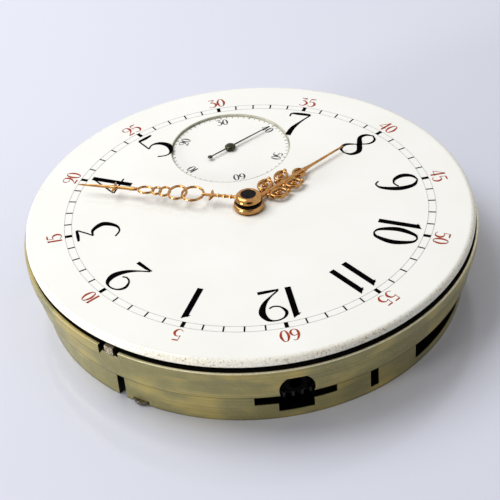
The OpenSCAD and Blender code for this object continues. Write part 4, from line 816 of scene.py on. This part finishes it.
class Hand(Work):
    """A hand drawn along +X from its axis and turned to a clock angle: carved strokes with a domed face."""

    def __init__(self, middle, angle, low, rise):
        super().__init__()
        self.middle, self.low, self.rise = middle, low, rise
        self.s, self.c = math.sin(math.radians(90 - angle)), math.cos(math.radians(90 - angle))

    def at(self, x, y, z):
        """Where a place on the hand, in millimetres along and across it, lies over the dial."""
        x, y = x * MM, y * MM
        return self.middle[0] + x * self.c - y * self.s, self.middle[1] + x * self.s + y * self.c, z

    def stroke(self, points, closed=False, lift=1.0, steps=8):
        """A carved stroke through points (x, y, half width) in millimetres."""
        if closed:
            ring = smooth_line([points[-1]] + list(points) + [points[0], points[1]], steps)
            line = ring[steps:steps * (len(points) + 1)]
            wide = [line[-1]] + line + [line[0]]
            normals = sides_of(wide)[1:-1]
        else:
            line = smooth_line(points, steps)
            normals = sides_of(line)
        arch = ((-1, 0), (-0.86, 0.55), (-0.5, 0.88), (0, 1), (0.5, 0.88), (0.86, 0.55), (1, 0))
        least_rise, full_width = 0.45, 0.25
        start, count, rows = len(self.points), len(arch), len(line)
        for (x, y, w), (nx, ny) in zip(line, normals):
            tall = self.rise * lift * min(1, least_rise + w / full_width)
            for side, up_by in arch:
                self.points.append(self.at(x + nx * w * side, y + ny * w * side, self.low + tall * up_by))
        for i in range(rows if closed else rows - 1):
            a, b = start + i * count, start + (i + 1) % rows * count
            for k in range(count):
                j = (k + 1) % count
                self.faces.append((a + j, a + k, b + k, b + j))
        if not closed:
            self.faces.append(tuple(start + k for k in range(count)))
            self.faces.append(tuple(start + (rows - 1) * count + k for k in reversed(range(count))))

    def loop(self, x, y, along, across_by, w, tilt=0.0):
        """A closed oval loop."""
        s, c = math.sin(math.radians(tilt)), math.cos(math.radians(tilt))
        oval = [(along * math.cos(t * math.pi / 6), across_by * math.sin(t * math.pi / 6)) for t in range(12)]
        self.stroke([(x + u * c - v * s, y + u * s + v * c, w) for u, v in oval], closed=True, lift=0.9, steps=4)

    def curl(self, x, y, r, first, turn, w):
        """A scroll that winds in from radius r to a bead, starting at the angle first."""
        line, steps, wind_in, thin_out = [], 9, 0.72, 0.35
        for k in range(steps + 1):
            t = k / steps
            a, r_now = math.radians(first + turn * t), r * (1 - wind_in * t)
            line.append((x + r_now * math.cos(a), y + r_now * math.sin(a), w * (1 - thin_out * t)))
        self.stroke(line, steps=4)
        self.bead(*line[-1][:2], 1.5 * w)

    def bead(self, x, y, r):
        """A round bead."""
        r, tall, low = r * MM, self.rise * 1.05, self.low
        self.turn(self.at(x, y, 0)[:2], [(0.01 * MM, low), (r, low), (0.9 * r, low + 0.6 * tall),
                                         (0.5 * r, low + 0.92 * tall), (0.01 * MM, low + tall)],
                  segments=16)


def dome(hub, round_in, shoulder, top, steps):
    """The rounded profile of a collet, from the shoulder at the radius hub up towards its top."""
    bends = [k * math.pi / 16 for k in range(steps)]
    return [(hub - round_in * (1 - math.cos(b)), shoulder + (top - shoulder) * math.sin(b)) for b in bends]


hour_low, hour_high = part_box("hour_hand")
hour_work = Hand(dial_middle, angle=238, low=hour_low.z + 0.12 * MM, rise=0.3 * MM)
hour_work.stroke([(1.3, 0, 0.34), (2.0, 0, 0.24), (3.2, 0, 0.2), (4.1, 0, 0.26), (5.2, 0, 0.2), (6.2, 0, 0.24),
                  (6.9, 0, 0.2)])
for side in (-1, 1):
    hour_work.loop(3.05, side * 0.98, 0.78, 0.62, 0.17, side * 25)
    hour_work.curl(3.1, side * 0.95, 0.34, 200 * side, -330 * side, 0.12)
    hour_work.bead(2.1, side * 0.55, 0.24)
    hour_work.bead(3.95, side * 1.42, 0.24)
    hour_work.loop(5.1, side * 0.9, 0.72, 0.56, 0.16, side * 25)
    hour_work.curl(5.15, side * 0.88, 0.3, 200 * side, -330 * side, 0.11)
    hour_work.bead(4.15, side * 0.55, 0.24)
    hour_work.bead(5.95, side * 1.25, 0.22)
    hour_work.stroke([(6.0, side * 0.1, 0.12), (6.4, side * 0.48, 0.16), (6.9, side * 0.5, 0.13),
                      (7.3, side * 0.12, 0.1)])
hour_work.stroke([(6.8, 0, 0.2), (7.4, 0, 0.26), (8.0, 0, 0.13), (9.6, 0, 0.095), (11.6, 0, 0.07),
                  (12.55, 0, 0.045), (12.88, 0, 0.015)])
hour_pipe, hour_hub = 1.325 * MM, 1.5 * MM
hour_foot, hour_top = dial_face + 0.05 * MM, hour_high.z - 0.19 * MM
hour_dome = dome(hour_hub, round_in=0.2 * MM, shoulder=hour_foot + 0.2 * MM, top=hour_top, steps=7)
hour_work.turn(dial_middle, [(hour_pipe, hour_foot), (hour_hub - 0.1 * MM, hour_foot),
                             (hour_hub - 0.03 * MM, hour_foot + 0.07 * MM)] + hour_dome
               + [(hour_pipe, hour_dome[-1][1])], segments=72)
hour_work.piece("carved_hour_hand", rose_gold, "hour", "gold", "hour_hand", smooth=60)

minute_low, minute_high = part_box("minute_hand")
minute_work = Hand(dial_middle, angle=113, low=minute_low.z + 0.05 * MM, rise=0.24 * MM)
minute_work.stroke([(1.0, 0, 0.28), (1.6, 0, 0.17), (2.6, 0, 0.15), (3.3, 0, 0.16), (4.1, 0, 0.15),
                    (4.6, 0, 0.12)])
for along, r in ((1.75, 0.25), (2.35, 0.23), (2.95, 0.22)):
    minute_work.bead(along, 0, r)
for side in (-1, 1):
    minute_work.stroke([(3.5, side * 0.05, 0.14), (3.65, side * 0.4, 0.17), (3.7, side * 0.8, 0.05)])
    minute_work.stroke([(13.3, side * 0.02, 0.1), (13.4, side * 0.38, 0.15), (13.45, side * 0.76, 0.04)])
for x, along, across_by, w in ((5.5, 1.05, 1.08, 0.12), (7.02, 0.86, 1.02, 0.12), (8.3, 0.52, 0.68, 0.11),
                               (9.12, 0.42, 0.54, 0.11), (10.2, 0.76, 0.5, 0.11)):
    minute_work.loop(x, 0, along, across_by, w)
minute_work.stroke([(10.85, 0, 0.12), (11.5, 0, 0.24), (12.2, 0, 0.18), (12.9, 0, 0.15), (13.4, 0, 0.24),
                    (14.1, 0, 0.16), (15.4, 0, 0.11), (16.6, 0, 0.06), (17.08, 0, 0.012)])
minute_pipe, minute_hub, minute_foot = 0.755 * MM, 1.3 * MM, minute_low.z + 0.03 * MM
minute_dome = dome(minute_hub, round_in=0.5 * MM, shoulder=minute_foot + 0.1 * MM, top=minute_high.z, steps=9)
minute_work.turn(dial_middle, [(minute_pipe, minute_foot), (minute_hub - 0.1 * MM, minute_foot)] + minute_dome
                 + [(minute_pipe, minute_high.z)], segments=72)
minute_work.piece("carved_minute_hand", rose_gold, "cannon", "gold", "minute_hand", smooth=60)

seconds_hand_low, seconds_hand_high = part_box("seconds_hand")
seconds_work = Hand(seconds_middle, angle=241, low=seconds_hand_low.z + 0.12 * MM, rise=0.11 * MM)
seconds_work.stroke([(-2.6, 0, 0.07), (-1.2, 0, 0.08), (0, 0, 0.1), (2.6, 0, 0.075), (4.4, 0, 0.06),
                     (5.05, 0, 0.045), (5.19, 0, 0.01)])
seconds_work.bead(-2.6, 0, 0.27)
seconds_pipe, seconds_hub, seconds_foot = 0.01 * MM, 0.55 * MM, seconds_hand_low.z
seconds_work.turn(seconds_middle, [(seconds_pipe, seconds_foot), (seconds_hub - 0.05 * MM, seconds_foot),
                                   (seconds_hub, seconds_foot + 0.05 * MM),
                                   (seconds_hub, seconds_foot + 0.17 * MM),
                                   (seconds_hub - 0.1 * MM, seconds_foot + 0.27 * MM),
                                   (seconds_hub - 0.3 * MM, seconds_hand_high.z - 0.01 * MM),
                                   (seconds_pipe, seconds_hand_high.z)], segments=40)
seconds_work.piece("slim_seconds_hand", dark_steel, "fourth", "blued_steel", "seconds_hand", smooth=60)
